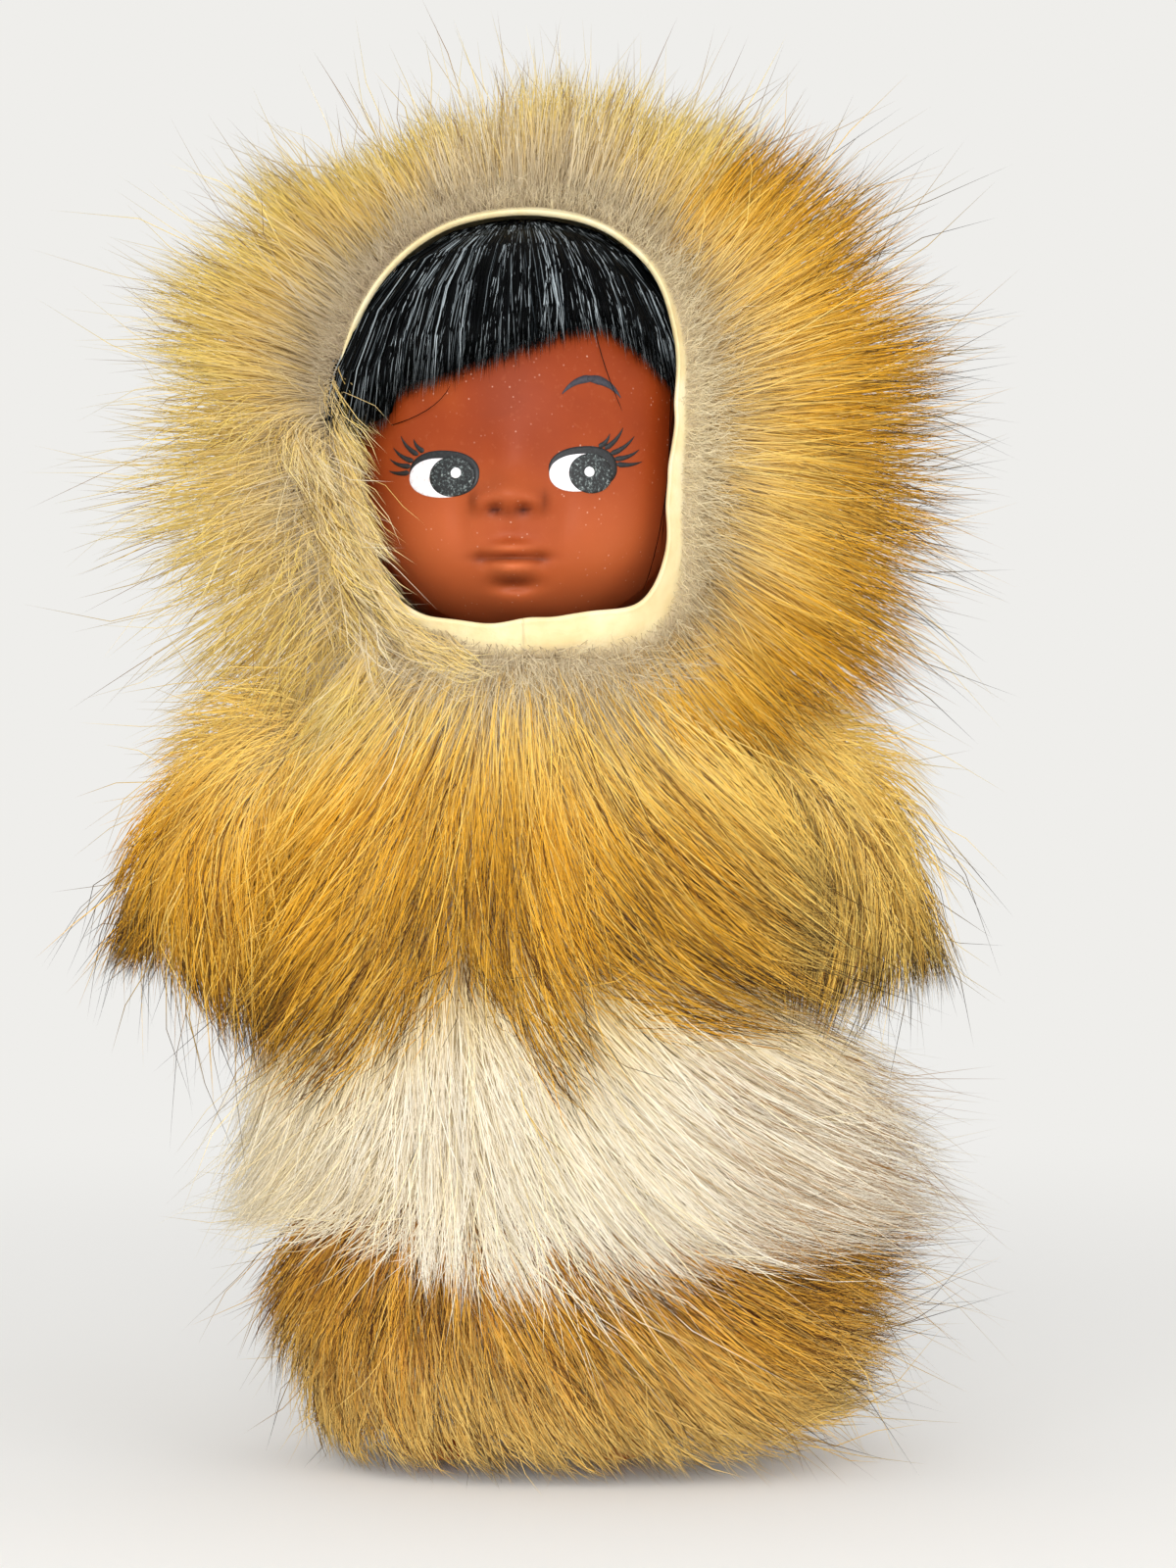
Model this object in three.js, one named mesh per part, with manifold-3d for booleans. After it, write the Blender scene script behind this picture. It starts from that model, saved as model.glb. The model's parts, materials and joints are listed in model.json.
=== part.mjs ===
// Fur-dressed souvenir doll: a jointed vinyl doll inside a hooded coat sewn from fox pelts.
// Millimetres, +Z up. The doll faces -Y, and its own left side is +X.
// The origin is under the middle of the standing doll, on the surface it stands on.

import * as THREE from 'three';
import { mergeVertices } from 'three/addons/utils/BufferGeometryUtils.js';
import Module from 'manifold-3d';

const wasm = await Module();
wasm.setup();

// Heights of the jointed doll
const hipHeight = 80;             // floor to the hip pivots
const shoulderRise = 66;          // hip pivots to shoulder pivots
const neckRise = 25;              // shoulder pivots to the underside of the head
const soleClearance = 2.5;        // the coat is this much longer than the legs

// Fits and sheet thicknesses
const gap = 0.3;                  // between pieces that lie against each other
const hideThickness = 1.2;        // tanned skin of the pelts
const mouldedWall = 2.2;          // wall of the moulded torso
const headWall = 2.4;             // wall of the soft vinyl head
const neckRimThickness = 4.2;     // thicker ring round the hole under the head

// Head
const headRadius = 36;            // half the width across the cheeks
const jawHeight = 42;             // widest level down to the underside
const crownHeight = 43;           // widest level up to the crown
const hairThickness = 2.8;        // combed hair over the scalp
const hoodEase = 1.5;             // room for the head and hair to turn in the hood
const napeDrop = 28;              // widest level down to the ends of the hair at the back
const neckPostRadius = 8.5;
const neckFlangeRadius = 11.5;    // snaps through the hole under the head
const neckFlangeThickness = 3;
const neckHoleClearance = 0.7;

// Slanted fringe, measured from the middle of the head at its widest level
const fringeLowEnd = { x: -28, z: 0.5 };
const fringePeak = { x: 13.5, z: 19.5 };
const fringeFarEnd = { x: 34, z: 3.5 };
const fringeDepth = 10;           // the window in the hair ends this far in front of the axis

// Torso, half sizes across and front to back
const shoulderHalfWidth = 31.2;
const seatProud = 0.8;            // the round shoulder seats stand out from the torso by this
const waistHalfWidth = 27;
const torsoHalfDepth = 19;
const pelvisHalfWidth = 11.3;     // between the thighs
const pelvisDrop = 14;            // hip pivots down to the crotch

// Arms: a stub that turns in the shoulder, then out and down to a mitten hand
const armRadius = 10.5;
const wristRadius = 7;
const handRadius = 8.3;
const armReach = 32.5;            // shoulder face out to the hand
const armDrop = 47;               // shoulder pivot down to the fingertips
const armPlugRadius = 5;
const armFlangeRadius = 8;
const plugFlangeThickness = 2.6;
const plugClearance = 0.6;
const armholeEase = 1.5;

// Legs
const thighRadius = 13.5;
const legOffset = 17.6;           // middle of the doll to the middle of a leg
const kneeRadius = 8;
const ankleRadius = 6.8;
const footHalfWidth = 8.2;
const footHalfLength = 15.5;
const footForward = 4.5;          // the foot's middle lies this far in front of the ankle
const footHeight = 12;
const hipPlugRadius = 4.5;
const hipFlangeRadius = 7;
const thighClearance = 0.8;

// Coat of pelts: a tube of hide with three tiers of fur
const coatEase = 3;               // torso to the inside of the hide at the shoulders
const chestHalfDepth = 24;        // outside of the hide over the chest
const hemHideHalfWidth = 45;
const hemHideHalfDepth = 32;
const hemHideLean = 6;            // the hem swings towards +X
const hemHideRise = 10;           // floor to the cut edge of the hide
const coatHideBottom = hipHeight + 17;    // sewn edge between the coat and the white tier
const whiteHideBottom = hipHeight - 31;   // sewn edge between the white tier and the hem
const coatFurBottom = hipHeight + 8;
const whiteFurBottom = hipHeight - 42;
const chestFurDepth = 42;         // middle of the doll to the front of the fur
const collarFurDepth = 36;
const chestFurRounding = 11;      // how far the chest's oval would run on past the sleeves
const backFurDepth = 38;

// Fur of the skirt at three heights, half sizes about a middle that leans towards +X
const skirtTop = { z: coatFurBottom - gap, lean: 8, halfWidth: 56, halfDepth: 40 };
const skirtFull = { z: hipHeight - 32, lean: 14, halfWidth: 73, halfDepth: 42 };
const skirtHem = { z: 0, lean: 13, halfWidth: 57, halfDepth: 38 };

// Sleeves
const sleeveTopReach = 14;        // fur beyond the sleeve's root at the shoulder
const sleeveShoulderReach = 40;
const sleeveReach = 53.2;         // fur beyond the sleeve's root at its widest
const sleeveTipReach = 42;
const sleeveDepth = 19.3;         // also the fur's height over the shoulder pivot
const sleeveLength = 57.7;        // shoulder pivot to the lowest fur
const sleeveWidestDrop = 35;
const cuffStep = 10;              // section of the arm where the sleeve's hide ends

// Hood: a shell round the head, open in front, with a wide ruff of fur
const hoodRise = 20;              // shoulder pivots up to the bottom of the hood
const hoodJawHeight = 62;         // widest level down to where the hood's curve would close
const mouthHalfWidth = 35;
const mouthBottomRise = 27.5;     // shoulder pivots up to the opening's lowest point
const mouthHeight = 89;
const mouthSetback = 12;          // the opening's top edge lies this far in front of the axis
const mouthFlare = 28;            // the funnel of short fur round the opening is this much wider in front
const mouthRim = 27;              // the funnel's narrow end lies this far in front of the axis
const ruffHalfWidth = 86.5;
const ruffHalfHeight = 81.5;
const ruffMiddle = 8;             // widest level of the head down to the middle of the ruff
const ruffFront = 36;
const ruffBack = 58;
const peltSeamAngle = 36;         // degrees from the vertical, towards +X

// Fineness of the model
const sides = 24;                 // corners round a large section
const limbSides = 12;
const limbSteps = 12;             // sections along an arm

// Worked out from the sizes above
const shoulderHeight = hipHeight + shoulderRise;
const neckSeat = shoulderHeight + neckRise;
const headMiddle = neckSeat + jawHeight;
const hoodBottom = shoulderHeight + hoodRise;
const collarStart = shoulderHeight + 6;   // the hide draws in from here up to the hood
const coatHalfWidth = shoulderHalfWidth + coatEase + hideThickness;
const coatFurHalfWidth = coatHalfWidth + gap;
const sleeveRoot = coatFurHalfWidth + 2 * gap;
const hoodInside = hairThickness + hoodEase;
const hoodOutside = hoodInside + hideThickness;
const far = 300;                  // longer than the doll, for cutting blocks

// Solids

function solidOf(geometry) {
  geometry.deleteAttribute('normal');
  geometry.deleteAttribute('uv');
  const merged = mergeVertices(geometry, 1e-4);
  const triVerts = new Uint32Array(merged.index.array);
  const vertProperties = merged.attributes.position.array;
  return new wasm.Manifold(new wasm.Mesh({ numProp: 3, vertProperties, triVerts }));
}

function ringMiddle(ring) {
  const sum = ring.reduce((total, point) => total.add(point), new THREE.Vector3());
  return sum.divideScalar(ring.length);
}

// A closed body through rings that have equally many corners, flat at both ends
function loft(rings) {
  const count = rings[0].length;
  const lastRing = (rings.length - 1) * count;
  const points = [...rings.flat(), ringMiddle(rings[0]), ringMiddle(rings.at(-1))];
  const startMiddle = points.length - 2;
  const endMiddle = points.length - 1;
  const corners = [];
  for (let corner = 0; corner < count; corner++) {
    const next = (corner + 1) % count;
    for (let level = 0; level < rings.length - 1; level++) {
      const here = level * count;
      const there = here + count;
      corners.push(here + corner, here + next, there + next);
      corners.push(here + corner, there + next, there + corner);
    }
    corners.push(startMiddle, next, corner);
    corners.push(endMiddle, lastRing + corner, lastRing + next);
  }
  let volume = 0;
  for (let first = 0; first < corners.length; first += 3) {
    const [a, b, c] = [0, 1, 2].map((step) => points[corners[first + step]]);
    volume += a.dot(b.clone().cross(c));
  }
  if (volume < 0) corners.reverse();
  const geometry = new THREE.BufferGeometry().setFromPoints(points);
  geometry.setIndex(corners);
  return solidOf(geometry);
}

// Corner of an oval: power 2 is an ellipse, and a higher power is squarer
function ovalCorner(angle, halfAcross, halfAlong, power) {
  const rounded = (value) => Math.sign(value) * Math.abs(value) ** (2 / power);
  return [halfAcross * rounded(Math.cos(angle)), halfAlong * rounded(Math.sin(angle))];
}

function levelRing({ z, lean = 0, forward = 0, halfWidth, halfDepth, power = 2, count = sides }) {
  return Array.from({ length: count }, (_, corner) => {
    const angle = (2 * Math.PI * (corner + 0.5)) / count;
    const [x, y] = ovalCorner(angle, halfWidth, halfDepth, power);
    return new THREE.Vector3(lean + x, y - forward, z);
  });
}

function uprightRing({ y, z, halfWidth, halfHeight, power = 2, count = sides }) {
  return Array.from({ length: count }, (_, corner) => {
    const angle = (2 * Math.PI * (corner + 0.5)) / count;
    const [x, up] = ovalCorner(angle, halfWidth, halfHeight, power);
    return new THREE.Vector3(x, y, z + up);
  });
}

function block(low, high) {
  const size = new THREE.Vector3().subVectors(high, low);
  const middle = new THREE.Vector3().addVectors(low, high).multiplyScalar(0.5);
  const geometry = new THREE.BoxGeometry(size.x, size.y, size.z);
  return solidOf(geometry.translate(middle.x, middle.y, middle.z));
}

// Everything between two values along one axis
function slab(axis, from, to) {
  const low = new THREE.Vector3(-far, -far, -far);
  const high = new THREE.Vector3(far, far, far);
  low[axis] = from;
  high[axis] = to;
  return block(low, high);
}

function rod({ radius, from, to, height, count = limbSides }) {
  const geometry = new THREE.CylinderGeometry(radius, radius, Math.abs(to - from), count);
  geometry.rotateY(Math.PI / count);
  geometry.rotateZ(Math.PI / 2);
  return solidOf(geometry.translate((from + to) / 2, 0, height));
}

function post({ radius, from, to, count = 16 }) {
  const geometry = new THREE.CylinderGeometry(radius, radius, to - from, count);
  geometry.rotateX(Math.PI / 2);
  return solidOf(geometry.translate(0, 0, (from + to) / 2));
}

function mirrored(solid) {
  return solid.mirror([1, 0, 0]);
}

// Materials

function material(color, roughness) {
  return new THREE.MeshStandardMaterial({ color, roughness, metalness: 0 });
}

const vinyl = () => material(0xa8431f, 0.5);
const plastic = () => material(0x9c4a2c, 0.55);
const nylonHair = () => material(0x101214, 0.45);
const hide = () => material(0xf3e3a6, 0.8);
const strawFur = () => material(0xdcc389, 0.95);
const goldFur = () => material(0xc88a36, 0.95);
const whiteFur = () => material(0xefe8d8, 0.95);
const brownFur = () => material(0xb9802f, 0.95);

const doll = new THREE.Group();

function addPiece(parent, name, solid, surface) {
  const { vertProperties, triVerts } = solid.getMesh();
  const geometry = new THREE.BufferGeometry();
  geometry.setAttribute('position', new THREE.BufferAttribute(new Float32Array(vertProperties), 3));
  geometry.setIndex(Array.from(triVerts));
  geometry.computeVertexNormals();
  const piece = new THREE.Mesh(geometry, surface);
  piece.name = name;
  parent.add(piece);
}

function addFrontAndBack(name, solid, surface) {
  addPiece(doll, `${name}_front`, solid.intersect(slab('y', -far, -gap / 2)), surface());
  addPiece(doll, `${name}_back`, solid.intersect(slab('y', gap / 2, far)), surface());
}

// Head: an egg, widest at headMiddle, with the face raised out of it

function eggRadius(z, grow, lowerHeight = jawHeight) {
  const height = z > headMiddle ? crownHeight + grow : lowerHeight + grow;
  const share = Math.min(Math.abs(z - headMiddle) / height, 1);
  const fullness = z > headMiddle ? 2.3 : 2.6;
  return (headRadius + grow) * (1 - share ** fullness) ** (1 / 2.2);
}

function eggLevels(grow, lowerHeight, count) {
  const levels = [];
  for (let step = 1; step < 2 * count; step++) {
    const angle = ((step - count) / count) * (Math.PI / 2);
    const height = angle > 0 ? crownHeight + grow : lowerHeight + grow;
    levels.push(headMiddle + Math.sign(angle) * height * Math.abs(Math.sin(angle)) ** 0.85);
  }
  return levels;
}

function egg(grow, lowerHeight = jawHeight, count = 7) {
  return loft(eggLevels(grow, lowerHeight, count).map((z) => {
    const radius = eggRadius(z, grow, lowerHeight);
    return levelRing({ z, halfWidth: radius, halfDepth: radius });
  }));
}

// Forms of the face: place across it and above the neck seat, spread and rise
const faceForms = {
  nose: { across: -1.5, up: 28.8, wide: 4, tall: 3.4, rise: 4.2 },
  noseBridge: { across: -0.8, up: 35, wide: 3.6, tall: 5, rise: 1.3 },
  leftNostril: { across: 2.6, up: 27, wide: 2, tall: 1.8, rise: 1 },
  rightNostril: { across: -5.2, up: 27, wide: 2, tall: 1.8, rise: 1 },
  muzzle: { across: -1, up: 17, wide: 9, tall: 6, rise: 2 },
  upperLip: { across: -1.2, up: 17.4, wide: 5, tall: 1.4, rise: 1.3 },
  lowerLip: { across: -1.2, up: 13.9, wide: 4.2, tall: 1.6, rise: 1.4 },
  lipHollow: { across: -1, up: 10.4, wide: 6, tall: 1.7, rise: -0.9 },
  chin: { across: -0.8, up: 6.4, wide: 7, tall: 4, rise: 2.4 },
  leftCheek: { across: 17, up: 18.5, wide: 9, tall: 8, rise: 1.6 },
  rightCheek: { across: -18.5, up: 18.5, wide: 9, tall: 8, rise: 1.6 },
  leftSocket: { across: 13.6, up: 33, wide: 6.5, tall: 4.6, rise: -1.2 },
  rightSocket: { across: -14.8, up: 33, wide: 6.5, tall: 4.6, rise: -1.2 },
  forehead: { across: 0, up: 52, wide: 16, tall: 10, rise: 0.9 },
};

// Rise is a sum of bells over the distance across (arc length) and up the face
function faceRise(angle, z) {
  const across = headRadius * angle;
  return Object.values(faceForms).reduce((sum, form) => {
    const sideways = (across - form.across) / form.wide;
    const upwards = (z - neckSeat - form.up) / form.tall;
    return sum + form.rise * Math.exp(-(sideways ** 2 + upwards ** 2) / 2);
  }, 0);
}

// Angles from the middle of the face, closer together in front
function headAngles() {
  const front = 22;
  const rest = 11;
  const frontHalf = THREE.MathUtils.degToRad(56);
  const angles = [];
  for (let step = 0; step < front; step++) {
    angles.push(-frontHalf + (2 * frontHalf * step) / front);
  }
  for (let step = 0; step < rest; step++) {
    angles.push(frontHalf + ((2 * Math.PI - 2 * frontHalf) * step) / rest);
  }
  return angles;
}

function headLevels(grow) {
  const chinLevel = neckSeat + 3.2;
  const rows = 14;
  const poles = eggLevels(grow, jawHeight, 7);
  const below = poles.filter((z) => z < chinLevel - 0.6);
  const face = Array.from({ length: rows }, (_, row) => {
    return chinLevel + ((headMiddle - chinLevel) * row) / rows;
  });
  return [...below, ...face, ...poles.filter((z) => z >= headMiddle)];
}

function headOutside(grow) {
  const angles = headAngles();
  return loft(headLevels(grow).map((z) => angles.map((angle) => {
    const turn = angle > Math.PI ? angle - 2 * Math.PI : angle;
    const radius = eggRadius(z, grow) + faceRise(turn, z);
    return new THREE.Vector3(radius * Math.sin(angle), -radius * Math.cos(angle), z);
  })));
}

const neckHoleRadius = neckPostRadius + neckHoleClearance;

function headShell() {
  const rimTop = neckSeat + neckRimThickness;
  const neckHole = post({ radius: neckHoleRadius, from: neckSeat - gap, to: rimTop + gap });
  const hollow = egg(-headWall, jawHeight, 5).intersect(slab('z', rimTop, far));
  return headOutside(0).subtract(hollow).subtract(neckHole);
}

// The face's window in the hair, seen from in front
function fringeWindow() {
  const outline = new THREE.Shape();
  outline.moveTo(-far, fringeLowEnd.z);
  outline.lineTo(fringeLowEnd.x, fringeLowEnd.z);
  outline.lineTo(fringePeak.x, fringePeak.z);
  outline.quadraticCurveTo(fringeFarEnd.x - 7, fringePeak.z, fringeFarEnd.x, fringeFarEnd.z);
  outline.lineTo(far, fringeFarEnd.z);
  outline.lineTo(far, -far);
  outline.lineTo(-far, -far);
  outline.closePath();
  const geometry = new THREE.ExtrudeGeometry(outline, { depth: far, bevelEnabled: false, curveSegments: 5 });
  geometry.rotateX(Math.PI / 2);
  return solidOf(geometry.translate(0, -fringeDepth, headMiddle));
}

function rootedHair() {
  return egg(hairThickness)
    .subtract(headOutside(gap))
    .subtract(fringeWindow())
    .intersect(slab('z', headMiddle - napeDrop, far));
}

addPiece(doll, 'head_shell', headShell(), vinyl());
addPiece(doll, 'rooted_hair', rootedHair(), nylonHair());

// Torso: two moulded halves with round shoulder and hip seats

function torsoBody(inset, bottom, top) {
  const shoulderSlope = shoulderHalfWidth - seatProud;
  const stations = [
    { z: hipHeight - pelvisDrop, halfWidth: 18, halfDepth: torsoHalfDepth - 6 },
    { z: hipHeight - pelvisDrop + 8, halfWidth: 24, halfDepth: torsoHalfDepth - 2 },
    { z: hipHeight + 12, halfWidth: waistHalfWidth + 1, halfDepth: torsoHalfDepth },
    { z: hipHeight + shoulderRise / 2, halfWidth: waistHalfWidth, halfDepth: torsoHalfDepth - 1 },
    { z: shoulderHeight - armRadius, halfWidth: shoulderSlope, halfDepth: torsoHalfDepth },
    { z: shoulderHeight + armRadius - 2, halfWidth: shoulderSlope, halfDepth: torsoHalfDepth - 2 },
    { z: neckSeat - 9, halfWidth: 21, halfDepth: 14 },
    { z: neckSeat - gap, halfWidth: 13, halfDepth: 13 },
  ];
  const rings = stations.map(({ z, halfWidth, halfDepth }) => levelRing({
    z: THREE.MathUtils.clamp(z, bottom, top),
    halfWidth: halfWidth - inset,
    halfDepth: halfDepth - inset,
    power: 2.5,
    count: 16,
  }));
  return loft(rings);
}

function onBothSides(solid) {
  return solid.add(mirrored(solid));
}

// Everything beside the pelvis and below the hips, with round tops for the thighs
function thighRoom(grow) {
  const side = pelvisHalfWidth - grow;
  const roundTop = rod({
    radius: thighRadius + thighClearance + grow, from: side, to: far, height: hipHeight, count: 20,
  });
  const below = block(new THREE.Vector3(side, -far, -far), new THREE.Vector3(far, far, hipHeight + grow));
  return onBothSides(roundTop.add(below));
}

function torso() {
  const floor = hipHeight - pelvisDrop;
  const shoulderSeats = rod({
    radius: armRadius, from: -shoulderHalfWidth, to: shoulderHalfWidth, height: shoulderHeight,
  });
  const flangeRoom = rod({
    radius: armFlangeRadius + 1,
    from: mouldedWall - shoulderHalfWidth,
    to: shoulderHalfWidth - mouldedWall,
    height: shoulderHeight,
  });
  const hollow = torsoBody(mouldedWall, floor + mouldedWall, neckSeat - 9)
    .add(flangeRoom)
    .subtract(thighRoom(mouldedWall));
  const shoulderHoles = rod({
    radius: armPlugRadius + plugClearance, from: -far, to: far, height: shoulderHeight,
  });
  const hipHoles = rod({ radius: hipPlugRadius + plugClearance, from: -far, to: far, height: hipHeight });
  const flangeBottom = neckSeat + neckRimThickness + gap;
  const neckPost = post({ radius: neckPostRadius, from: neckSeat - 6, to: flangeBottom });
  const neckFlange = post({
    radius: neckFlangeRadius, from: flangeBottom, to: flangeBottom + neckFlangeThickness,
  });
  const neckBore = post({ radius: neckPostRadius - mouldedWall, from: neckSeat - 14, to: neckSeat + far });
  return torsoBody(0, floor, neckSeat)
    .add(shoulderSeats)
    .subtract(thighRoom(0))
    .subtract(hollow)
    .subtract(shoulderHoles)
    .subtract(hipHoles)
    .add(neckPost)
    .add(neckFlange)
    .subtract(neckBore);
}

addFrontAndBack('torso', torso(), plastic);

// Arms: a round plug held in the torso's shoulder hole, and a limb along a bent line

const armStart = shoulderHalfWidth + gap;
const armLine = new THREE.CubicBezierCurve3(
  new THREE.Vector3(armStart, 0, shoulderHeight),
  new THREE.Vector3(armStart + armReach * 0.55, 0, shoulderHeight),
  new THREE.Vector3(armStart + armReach, 0, shoulderHeight - armDrop * 0.3),
  new THREE.Vector3(armStart + armReach, 0, shoulderHeight - armDrop),
);

// Upper arm to wrist as a taper, then the mitten hand swells and closes
function armRadiusAt(share) {
  const cuff = cuffStep / limbSteps;
  const taper = THREE.MathUtils.lerp(armRadius, wristRadius, THREE.MathUtils.smoothstep(share, 0.2, cuff));
  const handSwell = (handRadius - wristRadius) * THREE.MathUtils.smoothstep(share, cuff, 0.93);
  const fingertips = 1 - 0.55 * THREE.MathUtils.smoothstep(share, 0.94, 1);
  return (taper + handSwell) * fingertips;
}

function ringOnArm(share, radius) {
  const middle = armLine.getPoint(share);
  const along = armLine.getTangent(share);
  const across = new THREE.Vector3(along.z, 0, -along.x);
  return Array.from({ length: limbSides }, (_, corner) => {
    const angle = (2 * Math.PI * (corner + 0.5)) / limbSides;
    const sideways = across.clone().multiplyScalar(radius * Math.cos(angle));
    return middle.clone().add(sideways).add(new THREE.Vector3(0, radius * Math.sin(angle), 0));
  });
}

function armSolid(grow, lastStep) {
  return loft(Array.from({ length: lastStep + 1 }, (_, step) => {
    const share = step / limbSteps;
    return ringOnArm(share, armRadiusAt(share) + grow);
  }));
}

// The flange lies inside the wall that the plug passes through
function plug({ wallOutside, radius, flangeRadius, height }) {
  const wallInside = wallOutside - mouldedWall - gap;
  const flange = rod({
    radius: flangeRadius, from: wallInside - plugFlangeThickness, to: wallInside, height,
  });
  return rod({ radius, from: wallInside - 0.5, to: wallOutside + 1, height }).add(flange);
}

const arm = armSolid(0, limbSteps).add(plug({
  wallOutside: shoulderHalfWidth,
  radius: armPlugRadius,
  flangeRadius: armFlangeRadius,
  height: shoulderHeight,
}));

// Sleeves: a tube of hide on the arm and a body of fur round it. Over the shoulder the fur stays
// within a circle about the pivot, so that it turns under the hood.

const beyondRoot = slab('x', sleeveRoot, far);

const sleeveHide = armSolid(gap + hideThickness, cuffStep)
  .subtract(armSolid(gap, cuffStep + 1))
  .intersect(beyondRoot);

function sleeveFur() {
  const stations = [
    { drop: -sleeveDepth, reach: sleeveTopReach, depth: sleeveDepth * 0.17 },
    { drop: -sleeveDepth * 0.86, reach: sleeveTopReach + 12, depth: sleeveDepth * 0.5 },
    { drop: -sleeveDepth * 0.4, reach: sleeveShoulderReach - 2, depth: sleeveDepth * 0.87 },
    { drop: 0, reach: sleeveShoulderReach + 1, depth: sleeveDepth },
    { drop: sleeveWidestDrop * 0.55, reach: (sleeveShoulderReach + sleeveReach) / 2, depth: sleeveDepth },
    { drop: sleeveWidestDrop, reach: sleeveReach, depth: sleeveDepth },
    { drop: (sleeveWidestDrop + sleeveLength) / 2, reach: sleeveReach - 1, depth: sleeveDepth },
    { drop: sleeveLength - 3, reach: sleeveTipReach, depth: sleeveDepth - 2 },
    { drop: sleeveLength, reach: sleeveTipReach - 12, depth: sleeveDepth - 6 },
  ];
  const envelope = loft(stations.map(({ drop, reach, depth }) => levelRing({
    z: shoulderHeight - drop, lean: sleeveRoot, halfWidth: reach, halfDepth: depth, power: 2.4, count: 20,
  })));
  const clearOfSkirt = rod({
    radius: sleeveLength, from: 0, to: far, height: shoulderHeight, count: 40,
  });
  const cavityGrow = 2 * gap + hideThickness;
  const handEnd = armLine.getPoint(1);
  const handSpace = loft([shoulderHeight - armDrop + handRadius, 0].map((z) => levelRing({
    z, lean: handEnd.x, halfWidth: handRadius + 1, halfDepth: handRadius + 1, count: limbSides,
  })));
  return envelope
    .intersect(beyondRoot)
    .intersect(clearOfSkirt)
    .subtract(armSolid(cavityGrow, limbSteps))
    .subtract(handSpace);
}

const sleeveFurSolid = sleeveFur();

// Legs: a thigh disc on the pelvis, a straight leg and a rounded foot

function leg() {
  const footMiddle = { lean: legOffset, forward: footForward, power: 2.4, count: limbSides };
  const column = { lean: legOffset, count: limbSides };
  const inner = pelvisHalfWidth + gap;
  const rings = [
    { z: soleClearance, halfWidth: footHalfWidth - 0.6, halfDepth: footHalfLength - 0.8, ...footMiddle },
    { z: soleClearance + 2, halfWidth: footHalfWidth, halfDepth: footHalfLength, ...footMiddle },
    { z: soleClearance + footHeight * 0.55, halfWidth: footHalfWidth - 0.3, halfDepth: 12.5, ...footMiddle },
    { z: soleClearance + footHeight, halfWidth: ankleRadius, halfDepth: ankleRadius + 1, ...column },
    { z: hipHeight * 0.28, halfWidth: ankleRadius, halfDepth: ankleRadius + 0.4, ...column },
    { z: hipHeight * 0.42, halfWidth: kneeRadius, halfDepth: kneeRadius + 1.2, ...column },
    { z: hipHeight * 0.55, halfWidth: kneeRadius - 0.6, halfDepth: kneeRadius + 0.4, ...column },
    { z: hipHeight * 0.8, halfWidth: legOffset - inner, halfDepth: thighRadius - 2, ...column },
    { z: hipHeight, halfWidth: legOffset - inner, halfDepth: thighRadius - 2, ...column },
  ].map(levelRing);
  const thighDisc = rod({
    radius: thighRadius, from: inner, to: 2 * legOffset - inner, height: hipHeight, count: 20,
  });
  return loft(rings).add(thighDisc).add(plug({
    wallOutside: pelvisHalfWidth,
    radius: hipPlugRadius,
    flangeRadius: hipFlangeRadius,
    height: hipHeight,
  }));
}

const legSolid = leg();

addPiece(doll, 'arm_left', arm, vinyl());
addPiece(doll, 'arm_right', mirrored(arm), vinyl());
addPiece(doll, 'sleeve_hide_left', sleeveHide, hide());
addPiece(doll, 'sleeve_hide_right', mirrored(sleeveHide), hide());
addPiece(doll, 'sleeve_fur_left', sleeveFurSolid, goldFur());
addPiece(doll, 'sleeve_fur_right', mirrored(sleeveFurSolid), goldFur());
addPiece(doll, 'leg_left', legSolid, vinyl());
addPiece(doll, 'leg_right', mirrored(legSolid), vinyl());

// Coat: a tube of hide from the collar to the hem, sewn from three tiers of pelt

function hideStation(z, grow) {
  const collar = THREE.MathUtils.smoothstep(z, collarStart, hoodBottom);
  const flare = 1 - THREE.MathUtils.smoothstep(z, hemHideRise, coatFurBottom);
  const collarRadius = eggRadius(hoodBottom, hoodOutside, hoodJawHeight);
  const { lerp } = THREE.MathUtils;
  return {
    z,
    lean: hemHideLean * flare,
    halfWidth: lerp(lerp(coatHalfWidth, hemHideHalfWidth, flare), collarRadius, collar) + grow,
    halfDepth: lerp(lerp(chestHalfDepth, hemHideHalfDepth, flare), collarRadius, collar) + grow,
    power: lerp(2.8, 2, collar),
  };
}

function hideTube(grow) {
  const skirtSteps = 4;
  const skirtLevels = Array.from({ length: skirtSteps + 1 }, (_, step) => {
    return THREE.MathUtils.lerp(hemHideRise, coatFurBottom, step / skirtSteps);
  });
  const chestLevels = [(coatFurBottom + shoulderHeight) / 2, collarStart];
  const collarLevels = [(collarStart + hoodBottom) / 2, hoodBottom - gap, hoodBottom + 2];
  return loft([-1, ...skirtLevels, ...chestLevels, ...collarLevels].map((z) => levelRing(hideStation(z, grow))));
}

const hideSolid = hideTube(0)
  .subtract(hideTube(-hideThickness).add(slab('z', hoodBottom, far)))
  .subtract(slab('z', -far, hemHideRise));
const armholes = rod({
  radius: armRadius + armholeEase, from: -far, to: far, height: shoulderHeight, count: 24,
});
const outsideOfHide = hideTube(gap);

addFrontAndBack(
  'coat_hide',
  hideSolid.intersect(slab('z', coatHideBottom, hoodBottom - gap)).subtract(armholes),
  hide,
);
addFrontAndBack('white_band_hide', hideSolid.intersect(slab('z', whiteHideBottom, coatHideBottom - gap)), hide);
addFrontAndBack('hem_band_hide', hideSolid.intersect(slab('z', hemHideRise, whiteHideBottom - gap)), hide);

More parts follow.
